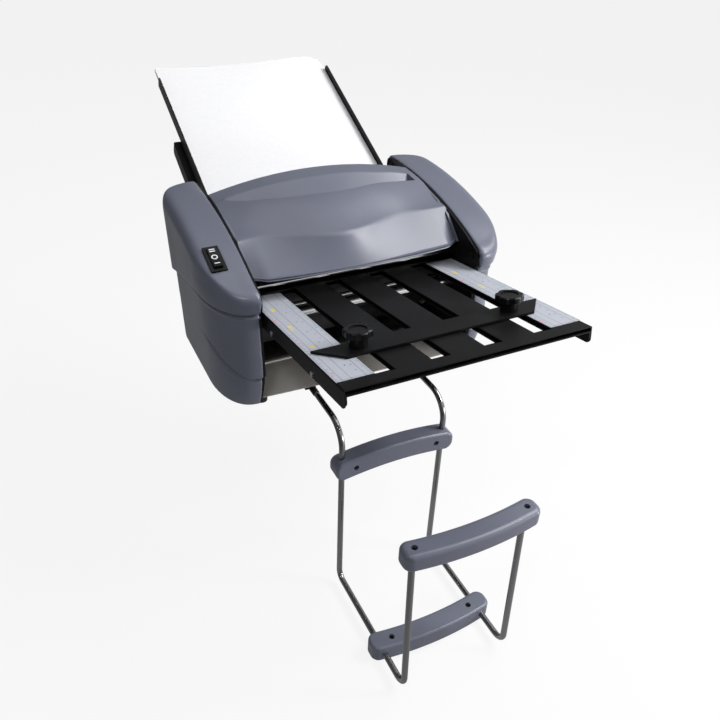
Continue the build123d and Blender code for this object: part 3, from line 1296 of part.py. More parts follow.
def build_drive():
    """Rollers, feed shaft, gears and motor."""
    phases = gear_phases()
    bushes = [bush(centre) for centre in ROLLERS + [FEED_CENTRE]]
    save("roller_bushes", bushes + [mirror(ring, about=Plane.YZ) for ring in bushes])
    for number, centre in enumerate(ROLLERS, 1):
        name = f"roller_{number}"
        save(f"fold_{name}", fold_roller(centre))
        save(f"{name}_gear", gear(GEAR_TEETH, phases[name], centre, JOURNAL_RADIUS))
    save("feed_shaft", feed_shaft())
    save("feed_tyres", feed_tyres())
    save("feed_gear", gear(FEED_GEAR_TEETH, phases["feed"], FEED_CENTRE, JOURNAL_RADIUS))
    bore = IDLER_PIN_RADIUS + BEARING_PLAY
    save("feed_idler_gear", gear(FEED_IDLER_TEETH, phases["feed_idler"], FEED_IDLER, bore))
    save("drive_idler_gear", gear(DRIVE_IDLER_TEETH, phases["drive_idler"], DRIVE_IDLER, bore))
    save("motor", motor())
    save("motor_pinion", motor_pinion(phases["pinion"]))
    save("separator_pads", separator_pads())
    save("separator_bracket", separator_bracket())
    save("sheet_guide", sheet_guide())


def build_tables():
    """Tray, stack and both fold tables with their stops."""
    save("paper_tray", paper_tray())
    save("paper_stack", paper_stack())
    save("front_table_top", FRONT_TABLE * table_top(TABLE_LENGTH))
    save("front_table_bottom", FRONT_TABLE * table_bottom(TABLE_LENGTH))
    save("front_table_studs", [FRONT_TABLE * stud for stud in table_studs(TABLE_LENGTH)])
    save("scale_strips", [FRONT_TABLE * strip for strip in scale_strips()])
    save("fold_stop", FRONT_TABLE * fold_stop())
    front_clamps = clamp_plates(STOP_REAR, -PLATE_SHEET - RUNNING_GAP)
    save("clamp_plates", [FRONT_TABLE * plate for plate in front_clamps])
    stud = STOP_LIFT + STOP_SHEET + LOWER_PLATE_TOP - RUNNING_GAP
    for side, x in (("left", -OUTER_SLOT_X), ("right", OUTER_SLOT_X)):
        place = Pos(x, STOP_REAR - KNOB_SETBACK, STOP_LIFT + STOP_SHEET)
        save(f"{side}_knob", FRONT_TABLE * place * knob(stud))
    save("rear_table_top", REAR_TABLE * table_top(REAR_TABLE_LENGTH))
    save("rear_table_bottom", REAR_TABLE * table_bottom(REAR_TABLE_LENGTH))
    save("rear_table_studs", [REAR_TABLE * stud for stud in table_studs(REAR_TABLE_LENGTH)])
    save("rear_fold_stop", REAR_TABLE * rear_stop())
    lifted = -LOWER_PLATE_TOP + RUNNING_GAP + CLAMP_PLATE_SHEET
    save("rear_clamp_plates", [REAR_TABLE * plate
                               for plate in clamp_plates(REAR_STOP_REAR, lifted)])
    low = -LOWER_PLATE_BOTTOM - STOP_LIFT - STOP_SHEET
    stud = -low - PLATE_SHEET - RUNNING_GAP
    for side, x in (("left", -OUTER_SLOT_X), ("right", OUTER_SLOT_X)):
        place = Pos(-x, REAR_STOP_REAR - KNOB_SETBACK, low) * Rot(180, 0, 0)
        save(f"rear_{side}_knob", REAR_TABLE * place * knob(stud))


def build_basket():
    """Wires, bars, screws and the sockets they plug into."""
    wires = [wire(-WIRE_X, WIRE_RADIUS), wire(WIRE_X, WIRE_RADIUS)]
    save("left_basket_wire", wires[0])
    save("right_basket_wire", wires[1])
    upper = bar_halves(UPPER_BAR, wires, UPPER_BAR_HALF_LENGTH)
    lower = bar_halves(LOWER_BAR, wires, BAR_HALF_LENGTH)
    save("upper_bar_front", upper[0])
    save("upper_bar_back", upper[1])
    save("lower_bar_top", lower[0])
    save("lower_bar_bottom", lower[1])
    save("basket_handle", basket_handle(wires))
    screws = bar_screw_places(WIRE_X, HANDLE, HANDLE_SCREW_LENGTH)
    for turn in (UPPER_BAR, LOWER_BAR):
        screws += bar_screw_places(BAR_SCREW_X, turn, BAR_SCREW_LENGTH)
    save("bar_screws", screws)
    save("wire_sockets", wire_sockets())
    save("wire_sleeves", wire_sleeves())


def main():
    os.makedirs("parts", exist_ok=True)
    build_housing()
    build_drive()
    build_tables()
    build_basket()
    print("rollers", ROLLERS)
    print("feed", FEED_CENTRE, "idlers", FEED_IDLER, DRIVE_IDLER, "motor", MOTOR_CENTRE)
    print("front edge", FRONT_EDGE, "rear edge", REAR_EDGE)


main()
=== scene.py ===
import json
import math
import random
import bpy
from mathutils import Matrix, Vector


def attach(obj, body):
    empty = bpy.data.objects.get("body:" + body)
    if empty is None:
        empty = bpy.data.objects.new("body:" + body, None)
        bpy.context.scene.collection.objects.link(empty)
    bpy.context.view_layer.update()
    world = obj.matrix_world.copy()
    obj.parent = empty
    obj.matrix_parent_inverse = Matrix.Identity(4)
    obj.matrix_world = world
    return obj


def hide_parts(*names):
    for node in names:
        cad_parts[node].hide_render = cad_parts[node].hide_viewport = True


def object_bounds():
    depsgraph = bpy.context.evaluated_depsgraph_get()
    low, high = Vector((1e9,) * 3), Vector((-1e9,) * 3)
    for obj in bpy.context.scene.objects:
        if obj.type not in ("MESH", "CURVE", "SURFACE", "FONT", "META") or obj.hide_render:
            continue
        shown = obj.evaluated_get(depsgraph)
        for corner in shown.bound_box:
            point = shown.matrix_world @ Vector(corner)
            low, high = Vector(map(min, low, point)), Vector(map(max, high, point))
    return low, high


bl_info = {
    "name": "Paper folder",
    "version": (1, 0, 0),
    "blender": (4, 5, 0),
    "location": "View3D > Sidebar > Folder",
    "description": "Finishes and fine pieces of a desk paper folder with a wire catch basket",
    "category": "Object",
}

import bmesh
import bpy
from bpy.props import FloatProperty, FloatVectorProperty, PointerProperty
from mathutils import Euler, Matrix, Vector

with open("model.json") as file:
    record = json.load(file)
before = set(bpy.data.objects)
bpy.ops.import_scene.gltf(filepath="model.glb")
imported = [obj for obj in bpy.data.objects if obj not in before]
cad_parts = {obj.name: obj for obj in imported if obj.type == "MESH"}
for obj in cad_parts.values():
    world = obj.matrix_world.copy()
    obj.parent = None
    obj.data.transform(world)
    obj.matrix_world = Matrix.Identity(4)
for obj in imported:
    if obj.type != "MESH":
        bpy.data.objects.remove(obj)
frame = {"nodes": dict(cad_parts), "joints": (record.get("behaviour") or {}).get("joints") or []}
CAD_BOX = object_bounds()
MM = 0.001
NODES = frame["nodes"]


# Shader sums

class Value:
    """A socket of a node tree that Python's operators work on."""

    def __init__(self, tree, socket):
        self.tree = tree
        self.socket = socket

    def math(self, operation, *others):
        return self.tree.node("ShaderNodeMath", {"operation": operation},
                              {index: item for index, item in enumerate((self, *others))})

    def __add__(self, other):
        return self.math("ADD", other)

    __radd__ = __add__

    def __sub__(self, other):
        return self.math("SUBTRACT", other)

    def __rsub__(self, other):
        return self.tree.node("ShaderNodeMath", {"operation": "SUBTRACT"}, {0: other, 1: self})

    def __mul__(self, other):
        return self.math("MULTIPLY", other)

    def less(self, other):
        return self.math("LESS_THAN", other)

    def more(self, other):
        return self.math("GREATER_THAN", other)

    def wave(self, period):
        """Distance from the nearest multiple of a period."""
        return self.math("PINGPONG", period / 2)

    def clamped(self):
        return self.tree.node("ShaderNodeMath", {"operation": "ADD", "use_clamp": True},
                              {0: self, 1: 0.0})

    def ramp(self, low, high, to_low=0.0, to_high=1.0):
        """Smooth ramp between two values, held at both ends."""
        return self.tree.node("ShaderNodeMapRange", {"interpolation_type": "SMOOTHSTEP"},
                              {"Value": self, "From Min": low, "From Max": high,
                               "To Min": to_low, "To Max": to_high})


class Tree:
    """A node tree built from expressions."""

    def __init__(self, owner, output):
        owner.use_nodes = True
        self.nodes = owner.node_tree.nodes
        self.links = owner.node_tree.links
        self.nodes.clear()
        self.out = self.nodes.new(output).inputs["Surface"]

    def node(self, kind, settings=None, values=None, output=0):
        made = self.nodes.new(kind)
        for key, setting in (settings or {}).items():
            setattr(made, key, setting)
        for key, value in (values or {}).items():
            self.put(made.inputs[key], value)
        return Value(self, made.outputs[output])

    def put(self, socket, value):
        if isinstance(value, Value):
            self.links.new(value.socket, socket)
        elif socket.type == "RGBA":
            socket.default_value = (*value[:3], 1.0)
        else:
            socket.default_value = value

    def axes(self, vector):
        split = self.nodes.new("ShaderNodeSeparateXYZ")
        self.links.new(vector.socket, split.inputs[0])
        return [Value(self, socket) for socket in split.outputs]

    def ray(self, kind):
        """1 for rays of one kind, such as Is Camera Ray, and 0 for the others."""
        path = self.nodes.new("ShaderNodeLightPath")
        return Value(self, path.outputs[kind])

    def seen(self):
        """1 for what the camera sees, directly or through a clear piece, and 0 for the rest."""
        return self.ray("Is Camera Ray").math("MAXIMUM", self.ray("Is Transmission Ray"))


# Wear on every finish: limits of the noise for broad and fine marks, and the share of each
BROAD_WEAR = (0.42, 0.7)
FINE_WEAR = (0.45, 0.75)
BROAD_SHARE = 0.6
FINE_SHARE = 0.4


class Finish(Tree):
    """A material built from expressions."""

    def __init__(self, name):
        self.material = bpy.data.materials.new(name)
        super().__init__(self.material, "ShaderNodeOutputMaterial")
        self.shader = self.nodes.new("ShaderNodeBsdfPrincipled")
        self.links.new(self.shader.outputs[0], self.out)

    def place(self, turn=(0.0, 0.0, 0.0), move=(0.0, 0.0, 0.0), scale=(1.0, 1.0, 1.0)):
        """Object coordinates, moved, turned and scaled for a piece that stands at a slant."""
        coords = self.node("ShaderNodeTexCoord", output=3)
        return self.node("ShaderNodeMapping", {"vector_type": "TEXTURE"},
                         {"Vector": coords, "Location": move, "Rotation": turn, "Scale": scale})

    def noise(self, vector, scale, detail=2.0, roughness=0.5):
        return self.node("ShaderNodeTexNoise", {},
                         {"Vector": vector, "Scale": scale, "Detail": detail,
                          "Roughness": roughness})

    def blend(self, share, first, second):
        made = self.nodes.new("ShaderNodeMix")
        made.data_type = "RGBA"
        self.put(made.inputs[0], share)
        self.put(made.inputs[6], first)
        self.put(made.inputs[7], second)
        return Value(self, made.outputs[2])

    def bump(self, height, strength, depth):
        return self.node("ShaderNodeBump", {},
                         {"Height": height, "Strength": strength, "Distance": depth})

    def set(self, **values):
        names = {key.replace("_", " ").title().replace("Ior", "IOR"): item
                 for key, item in values.items()}
        for key, value in names.items():
            self.put(self.shader.inputs[key], value)

    def wear(self, vector):
        """Soft uneven patches between 0 and 1, for handling marks."""
        broad = self.noise(vector, scale=14.0)
        fine = self.noise(vector, scale=90.0, detail=4.0, roughness=0.6)
        return broad.ramp(*BROAD_WEAR) * BROAD_SHARE + fine.ramp(*FINE_WEAR) * FINE_SHARE


# Shares of wear in the colour, and of wear and grain in the roughness, of each finish
MOULD_PALE, MOULD_MARKS, MOULD_GRAINS = 0.5, 0.06, 0.05
PAINT_PALE, PAINT_MARKS, PAINT_SPECKS = 0.4, 0.08, 0.06
CHROME_LEAST, CHROME_MARKS, CHROME_GRAINS = 0.10, 0.08, 0.04
METAL_DULL, METAL_LINES, METAL_MARKS = 0.6, 0.12, 0.08
RUBBER_PALE, RUBBER_LEAST, RUBBER_GRAINS = 0.5, 0.75, 0.15
GLOSS_PALE, GLOSS_MARKS, GLOSS_GRAINS = 0.5, 0.08, 0.02
PAPER_LEAST, PAPER_FIBRES = 0.82, 0.1
SPECK_HEIGHT = 0.3


def worn(colour, factor, lift=0.0):
    """Colour of the places that handling has marked."""
    return tuple(min(part * factor + lift, 1.0) for part in colour)


def moulded_plastic(name, colour, roughness, grain, shine=0.5):
    """Satin moulded plastic with a fine spark-eroded grain."""
    finish = Finish(name)
    where = finish.place()
    grains = finish.noise(where, scale=1800.0)
    marks = finish.wear(where)
    pale = worn(colour, factor=1.12, lift=0.004)
    finish.set(base_color=finish.blend(marks * MOULD_PALE, colour, pale),
               roughness=roughness + marks * MOULD_MARKS + grains * MOULD_GRAINS,
               normal=finish.bump(grains, strength=grain, depth=0.00005),
               specular_ior_level=shine)
    return finish.material


def sprayed_paint(name, colour, roughness):
    """Satin paint on sheet steel with a slight orange peel."""
    finish = Finish(name)
    where = finish.place()
    peel = finish.noise(where, scale=520.0)
    speck = finish.noise(where, scale=2600.0)
    marks = finish.wear(where)
    pale = worn(colour, factor=1.5, lift=0.008)
    finish.set(base_color=finish.blend(marks * PAINT_PALE, colour, pale),
               roughness=roughness + marks * PAINT_MARKS + speck * PAINT_SPECKS,
               normal=finish.bump(peel + speck * SPECK_HEIGHT, strength=0.25, depth=0.00006),
               specular_ior_level=0.35, ior=1.25)
    return finish.material


def bright_chrome(name, colour):
    """Polished chrome plate with faint drawing lines and finger marks."""
    finish = Finish(name)
    where = finish.place()
    marks = finish.wear(where)
    fine = finish.noise(where, scale=700.0)
    finish.set(base_color=colour, metallic=1.0,
               roughness=CHROME_LEAST + marks * CHROME_MARKS + fine * CHROME_GRAINS,
               normal=finish.bump(fine, strength=0.015, depth=0.00002))
    return finish.material


def plain_metal(name, colour, roughness, stretch, bare=1.0):
    """Bare metal with brushing along the long axis of a stretch."""
    finish = Finish(name)
    lines = finish.noise(finish.place(scale=stretch), scale=900.0)
    marks = finish.wear(finish.place())
    dull = worn(colour, factor=0.8)
    finish.set(base_color=finish.blend(marks * METAL_DULL, colour, dull), metallic=bare,
               roughness=roughness + lines * METAL_LINES + marks * METAL_MARKS,
               normal=finish.bump(lines, strength=0.15, depth=0.00004))
    return finish.material


def soft_rubber(name, colour):
    """Dull ground rubber."""
    finish = Finish(name)
    where = finish.place()
    grains = finish.noise(where, scale=1500.0, detail=3.0)
    marks = finish.wear(where)
    pale = worn(colour, factor=1.6, lift=0.01)
    finish.set(base_color=finish.blend(marks * RUBBER_PALE, colour, pale),
               roughness=RUBBER_LEAST + grains * RUBBER_GRAINS,
               normal=finish.bump(grains, strength=0.4, depth=0.00008))
    return finish.material


def gloss_plastic(name, colour, roughness):
    """Polished plastic with faint scuffs."""
    finish = Finish(name)
    where = finish.place()
    marks = finish.wear(where)
    fine = finish.noise(where, scale=1200.0)
    pale = worn(colour, factor=1.3, lift=0.003)
    finish.set(base_color=finish.blend(marks * GLOSS_PALE, colour, pale),
               roughness=roughness + marks * GLOSS_MARKS + fine * GLOSS_GRAINS,
               normal=finish.bump(fine, strength=0.05, depth=0.00004),
               specular_ior_level=0.3, ior=1.35)
    return finish.material


# Sizes and colours that a user may change

def colour_prop(name, text, default):
    return FloatVectorProperty(name=name, description=text, default=default, subtype="COLOR",
                               size=3, min=0.0, max=1.0)


def length_prop(name, text, default):
    return FloatProperty(name=name, description=text, default=default, unit="LENGTH")


def share_prop(name, text, default):
    return FloatProperty(name=name, description=text, default=default, min=0.0, max=1.0,
                         subtype="FACTOR")


def power_prop(name, text, default):
    return FloatProperty(name=name, description=text, default=default, unit="POWER")


class HousingLook(bpy.types.PropertyGroup):
    cover: colour_prop("Cover", "Moulded plastic of the covers", (0.115, 0.124, 0.166))
    roughness: share_prop("Roughness", "Roughness of the covers", 0.29)
    grain: share_prop("Grain", "Depth of the moulded grain", 0.35)
    paint: colour_prop("Paint", "Black paint of the frames and tables", (0.006, 0.006, 0.0065))
    sheet: colour_prop("Sheet", "Bare sheet of the base and chute", (0.54, 0.51, 0.475))


class BasketLook(bpy.types.PropertyGroup):
    # Darker than bare chrome: painted shade that dims what the wires reflect
    chrome: colour_prop("Chrome", "Plate on the basket wires", (0.31, 0.31, 0.32))
    bar: colour_prop("Bar", "Moulded plastic of the cross bars", (0.125, 0.134, 0.178))


class PaperLook(bpy.types.PropertyGroup):
    sheet: colour_prop("Sheet", "Copy paper", (0.80, 0.80, 0.82))
    step: length_prop("Step", "Thickness of each visible bundle of sheets", 0.00042)
    film: colour_prop("Film", "Ground of the printed strips", (0.44, 0.46, 0.52))
    ink: colour_prop("Ink", "Ink of the printed strips", (0.03, 0.035, 0.05))


class StageLook(bpy.types.PropertyGroup):
    floor: colour_prop("Floor", "Floor under the basket", (0.75, 0.75, 0.75))
    sky: share_prop("Sky", "Strength of the even light from all sides", 0.22)
    mirror: share_prop("Mirror", "Least strength of the studio in reflections", 0.12)
    spark: power_prop("Spark", "Power of the small lamp at the right front", 6.0)
    side: power_prop("Side", "Power of the low lamp at the right", 7.0)
    glint: power_prop("Glint", "Power of the small lamp over the left front", 2.6)
    key: power_prop("Key", "Power of the main lamp", 16.5)
    fill: power_prop("Fill", "Power of the fill lamp", 4.5)


# Pieces

SHEET_ROUGHNESS = 0.38
SHEET_STRETCH = (1.0, 12.0, 1.0)
CHUTE_BARE = 0.7
SHARP_ANGLE = math.radians(40.0)

FINISHES = {
    "bar": ("upper_bar_front", "upper_bar_back", "lower_bar_top", "lower_bar_bottom",
            "basket_handle"),
    "paint": ("right_side_frame", "left_side_frame", "back_panel", "paper_tray",
              "front_table_top", "front_table_bottom", "fold_stop", "rear_table_top",
              "rear_table_bottom", "rear_fold_stop", "motor"),
    "sheet": ("base_pan",),
    "chrome": ("left_basket_wire", "right_basket_wire"),
    "rod": ("cross_rods",),
    "steel": ("feed_shaft", "clamp_plates", "rear_clamp_plates", "front_table_studs",
              "rear_table_studs", "motor_pinion"),
    "screw": ("cover_screws", "bar_screws"),
    "rubber": ("rubber_feet", "fold_roller_1", "fold_roller_2", "fold_roller_3",
               "fold_roller_4", "feed_tyres", "separator_pads"),
    "nylon": ("roller_1_gear", "roller_2_gear", "roller_3_gear", "roller_4_gear", "feed_gear",
              "feed_idler_gear", "drive_idler_gear", "roller_bushes"),
    "black": ("separator_bracket", "sheet_guide", "wire_sockets", "wire_sleeves",
              "inlet_socket"),
    "gloss": ("left_knob", "right_knob", "rear_left_knob", "rear_right_knob", "switch_bezel",
              "switch_rocker"),
}


class FOLDER_OT_finishes(bpy.types.Operator):
    """Give every carried-over piece its finish"""
    bl_idname = "folder.finishes"
    bl_label = "Finishes"

    def execute(self, context):
        housing = context.scene.folder_housing
        basket = context.scene.folder_basket
        made = {
            "bar": moulded_plastic("slate_bar_plastic", basket.bar, roughness=0.32, grain=0.4),
            "paint": sprayed_paint("satin_black_paint", housing.paint, roughness=0.34),
            "sheet": plain_metal("galvanised_sheet", housing.sheet, SHEET_ROUGHNESS,
                                 SHEET_STRETCH),
            # The wires' chrome colour is darkened as painted shade in their reflections
            "chrome": bright_chrome("chrome_plate", basket.chrome),
            # The rod's chrome colour is lightened as a painted highlight, brighter than the wires'
            # chrome
            "rod": bright_chrome("ground_rod", colour=(0.85, 0.85, 0.86)),
            "steel": plain_metal("turned_steel", colour=(0.6, 0.6, 0.6), roughness=0.22,
                                 stretch=(8.0, 1.0, 1.0)),
            "screw": plain_metal("blackened_steel", colour=(0.03, 0.03, 0.032), roughness=0.4,
                                 stretch=(1.0, 1.0, 1.0)),
            "rubber": soft_rubber("black_rubber", colour=(0.02, 0.02, 0.021)),
            "nylon": moulded_plastic("white_nylon", colour=(0.62, 0.60, 0.55), roughness=0.5,
                                     grain=0.2),
            "black": moulded_plastic("black_plastic", colour=(0.007, 0.007, 0.0075),
                                     roughness=0.5, grain=0.3, shine=0.3),
            "gloss": gloss_plastic("gloss_black_plastic", colour=(0.006, 0.006, 0.0065),
                                   roughness=0.24),
        }
        for key, names in FINISHES.items():
            for name in names:
                piece = NODES[name]
                piece.data.materials.clear()
                piece.data.materials.append(made[key])
        return {"FINISHED"}


def new_piece(name, mesh, finish, body, smooth=False):
    """Object from a finished bmesh, on a body, with a finish and a material slot."""
    data = bpy.data.meshes.new(name)
    mesh.to_mesh(data)
    mesh.free()
    data.materials.append(finish)
    if smooth:
        data.shade_smooth()
    piece = bpy.data.objects.new(name, data)
    bpy.context.scene.collection.objects.link(piece)
    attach(piece, body)
    return piece


def slab(mesh, low, high):
    """Box between two corners, added to a bmesh."""
    middle = [(a + b) / 2 for a, b in zip(low, high)]
    size = [b - a for a, b in zip(low, high)]
    bmesh.ops.create_cube(mesh, size=1.0,
                          matrix=Matrix.Translation(middle) @ Matrix.Diagonal((*size, 1.0)))


def rounded(corners, steps=6):
    """Side-view line through corners (y, z, radius), each turned in an even curve."""
    places = [Vector((y, z)) for y, z, _ in corners]
    line = []
    for index, (_, _, radius) in enumerate(corners):
        here = places[index]
        if not radius:
            line.append(here)
            continue
        before = here + (places[index - 1] - here).normalized() * radius
        after = here + (places[index + 1] - here).normalized() * radius
        for step in range(steps + 1):
            share = step / steps
            line.append(before.lerp(here, share).lerp(here.lerp(after, share), share))
    return line


def skin(mesh, lines):
    """Sheet through side-view lines with as many points each, given as (x, line)."""
    count = len(lines[0][1])
    made = bmesh.ops.create_grid(mesh, x_segments=len(lines) - 1, y_segments=count - 1, size=0.5)
    for vert in made["verts"]:
        column = round((vert.co.x + 0.5) * (len(lines) - 1))
        row = round((vert.co.y + 0.5) * (count - 1))
        x, line = lines[column]
        vert.co = Vector((x, *line[row]))


# Top cover in millimetres: each station of its upper line is (y, z, rise in the middle)
HOOD_HALF = 116.6
HOOD_WALL = 2.5
HOOD_COLUMNS = 56
HOOD_REAR = (60.0, 177.2, 15.0)
HOOD_CROWN = (14.0, 173.2, 14.5)
HOOD_BROW = (-18.0, 167.0, 11.5)
HOOD_BROW_REACH = 10.0
HOOD_LIP = (-31.0, 163.8, 1.2)
HOOD_LIP_REACH = 25.0
HOOD_LIP_SPAN = 85.0
HOOD_LIP_MIDDLE = -13.0
HOOD_LIP_CORNER = (-95.0, 3.0, 22.0)
LIP_HOLLOW = 17.0
HOOD_SILL = (-70.0, 135.0)
HOOD_SILL_REACH = 8.0
HOOD_TURN = (17.0, 9.0)
FACE_SHARES = (0.14, 0.5, 0.9)
FRONT_STEPS = 12
EDGE_TUCK = 1.0
EDGE_DROP = (4.0, 0.5)
EDGE_RADIUS = 1.6
LIP_RADIUS = (1.6, 2.4)
SILL_RADIUS = 1.4
SILL_FOLD = 0.6
REAR_TUCK = 4.0
REAR_RADIUS = 2.5

# Scoop in millimetres: (x, y) places of its front edge, then its depth at the left and right
SCOOP_TOP = 38.0
SCOOP_EDGE = ((-108.0, 37.0), (-89.0, 21.6), (-55.0, 8.5), (-31.0, 3.0), (-2.0, 0.0), (22.0, 2.4),
              (54.0, 10.0), (81.0, 14.0), (105.0, 20.0), (116.6, 24.0))
SCOOP_FALL = (10.0, 16.0)
SCOOP_LEFT = -108.0
SCOOP_CLOSE = 40.0
SCOOP_WALL = (106.0, 107.5)
SCOOP_RADII = (1.6, 0.6)
SCOOP_UNDER = (7.0, 4.0)
SCOOP_STEPS = 8

# Ribs at both ends of the hood, as an outline of (y, z)
HOOD_RIB = ((60.0, 175.9), (14.0, 171.9), (-18.0, 165.7), (-41.0, 158.0), (-64.0, 136.5),
            (-18.0, 135.0), (56.0, 158.0), (60.0, 158.0))
HOOD_RIB_WALL = 2.4


class FOLDER_OT_hood(bpy.types.Operator):
    """Mould the top cover with its scoop and bowed front"""
    bl_idname = "folder.hood"
    bl_label = "Top cover"

    def execute(self, context):
        mesh = bmesh.new()
        columns = [2 * index / HOOD_COLUMNS - 1 for index in range(HOOD_COLUMNS + 1)]
        columns = sorted(columns + [wall / HOOD_HALF for wall in SCOOP_WALL])
        skin(mesh, [(share * HOOD_HALF, self.front_line(share)) for share in columns])
        skin(mesh, [(share * HOOD_HALF, self.scoop_line(share)) for share in columns])
        bmesh.ops.recalc_face_normals(mesh, faces=mesh.faces)
        for face in mesh.faces:
            if face.normal.z < 0 and face.calc_center_median().z > HOOD_SILL[1] + HOOD_WALL:
                face.normal_flip()
        bmesh.ops.solidify(mesh, geom=mesh.faces[:], thickness=HOOD_WALL)
        for side in (-1, 1):
            rib = [mesh.verts.new((side * HOOD_HALF, y, z)) for y, z in HOOD_RIB]
            face = mesh.faces.new(rib)
            wall = bmesh.ops.extrude_face_region(mesh, geom=[face])["geom"]
            moved = [item for item in wall if isinstance(item, bmesh.types.BMVert)]
            bmesh.ops.translate(mesh, vec=(-side * HOOD_RIB_WALL, 0.0, 0.0), verts=moved)
        bmesh.ops.recalc_face_normals(mesh, faces=mesh.faces)
        bmesh.ops.scale(mesh, vec=(MM, MM, MM), verts=mesh.verts)
        look = context.scene.folder_housing
        piece = new_piece("hood_shell", mesh,
                          moulded_plastic("slate_hood_plastic", look.cover, look.roughness,
                                          look.grain), "machine", smooth=True)
        piece.data.set_sharp_from_angle(angle=SHARP_ANGLE)
        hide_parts("top_cover")
        return {"FINISHED"}

    def shape(self, share):
        """How far the hood arches, and how far its lip bows, at a share of its half width."""
        arch = 1 - share * share
        away = abs(share * HOOD_HALF - HOOD_LIP_MIDDLE) / HOOD_LIP_SPAN
        bump = math.cos(min(away, 1) * math.pi / 2) ** 2
        return arch, bump

    def lip(self, share):
        """Depth of the bend at the front, which also turns forward at the left end."""
        past = max(HOOD_LIP_CORNER[0] - share * HOOD_HALF, 0.0) / HOOD_LIP_CORNER[2]
        return HOOD_LIP[0] - HOOD_LIP_REACH * self.shape(share)[1] - HOOD_LIP_CORNER[1] * past ** 2

    def height(self, share, depth):
        """Height of the hood's upper line at a depth, from the curve through its four stations."""
        arch, bump = self.shape(share)
        blend = (arch + bump) / 2
        stations = [(HOOD_REAR[0], HOOD_REAR[1] + HOOD_REAR[2] * arch),
                    (HOOD_CROWN[0], HOOD_CROWN[1] + HOOD_CROWN[2] * arch),
                    (HOOD_BROW[0] - HOOD_BROW_REACH * blend, HOOD_BROW[1] + HOOD_BROW[2] * blend),
                    (self.lip(share), HOOD_LIP[1] + HOOD_LIP[2] * bump)]
        total = 0.0
        for index, (y, z) in enumerate(stations):
            weight = 1.0
            for other, (place, _) in enumerate(stations):
                if other != index:
                    weight *= (depth - place) / (y - place)
            total += z * weight
        return total

    def edge(self, share):
        """Depth of the scoop's front edge, on straight lines between its places."""
        x = min(max(share * HOOD_HALF, SCOOP_EDGE[0][0]), SCOOP_EDGE[-1][0])
        for (left, start), (right, end) in zip(SCOOP_EDGE, SCOOP_EDGE[1:]):
            if x <= right:
                return start + (end - start) * (x - left) / (right - left)
        return SCOOP_EDGE[-1][1]

    def fall(self, share):
        """Depth of the scoop, which runs out at the left and ends in a wall at the right."""
        x = share * HOOD_HALF
        if x >= SCOOP_WALL[1]:
            return 0.0
        deep = SCOOP_FALL[0] + (SCOOP_FALL[1] - SCOOP_FALL[0]) * (share + 1) / 2
        opening = min(max((x - SCOOP_LEFT) / SCOOP_CLOSE, 0.0), 1.0)
        return deep * opening * (2.0 - opening)

    def front_line(self, share):
        """From under the scoop's front edge over the bulge and down to the sill."""
        arch = self.shape(share)[0]
        edge = self.edge(share)
        lip = self.lip(share)
        top = self.height(share, edge)
        under = top - max(self.fall(share), EDGE_DROP[0]) - EDGE_DROP[1]
        corners = [(edge + EDGE_TUCK, under, 0.0), (edge, top, EDGE_RADIUS)]
        for step in range(1, FRONT_STEPS):
            part = step / FRONT_STEPS
            depth = edge + (lip - edge) * part
            hollow = LIP_HOLLOW * part * part * (1.0 - part)
            corners.append((depth, self.height(share, depth) - hollow, 0.0))
        corners.append((lip, self.height(share, lip), LIP_RADIUS[0] + LIP_RADIUS[1] * arch))
        turn = max(abs(share) * HOOD_HALF - HOOD_HALF + HOOD_TURN[0], 0.0) / HOOD_TURN[0]
        sill = HOOD_SILL[0] - HOOD_SILL_REACH * arch + HOOD_TURN[1] * turn
        bend = self.height(share, lip)
        for part in FACE_SHARES:
            corners.append((lip + (sill - lip) * part, bend + (HOOD_SILL[1] - bend) * part, 0.0))
        corners.append((sill, HOOD_SILL[1], SILL_RADIUS))
        corners.append((sill + 2 * HOOD_WALL, HOOD_SILL[1] + SILL_FOLD, 0.0))
        return rounded(corners)

    def scoop_line(self, share):
        """From the hood's rear edge into the scoop and under its front edge."""
        edge = self.edge(share)
        top = self.height(share, SCOOP_TOP)
        low = self.height(share, edge) - self.fall(share)
        rear = self.height(share, HOOD_REAR[0])
        corners = [(HOOD_REAR[0], rear - REAR_TUCK, 0.0), (HOOD_REAR[0], rear, REAR_RADIUS),
                   (SCOOP_TOP, top, SCOOP_RADII[0]), (edge, low, SCOOP_RADII[1]),
                   (edge - SCOOP_UNDER[0], low - SCOOP_UNDER[1], 0.0)]
        return rounded(corners, SCOOP_STEPS)


# Exit chute in millimetres, with (y, z) places of its rear and front edge
CHUTE_HALF = 116.4
CHUTE_REAR = (-42.5, 22.6)
CHUTE_FRONT = (-82.0, 11.0)
CHUTE_REACH = 8.0
CHUTE_RISE = 3.0
CHUTE_WALL = 1.2
CHUTE_LIP = 1.5
CHUTE_FOLD = (4.0, 0.6)
CHUTE_RADII = (0.5, 0.4)
CHUTE_COLUMNS = 24


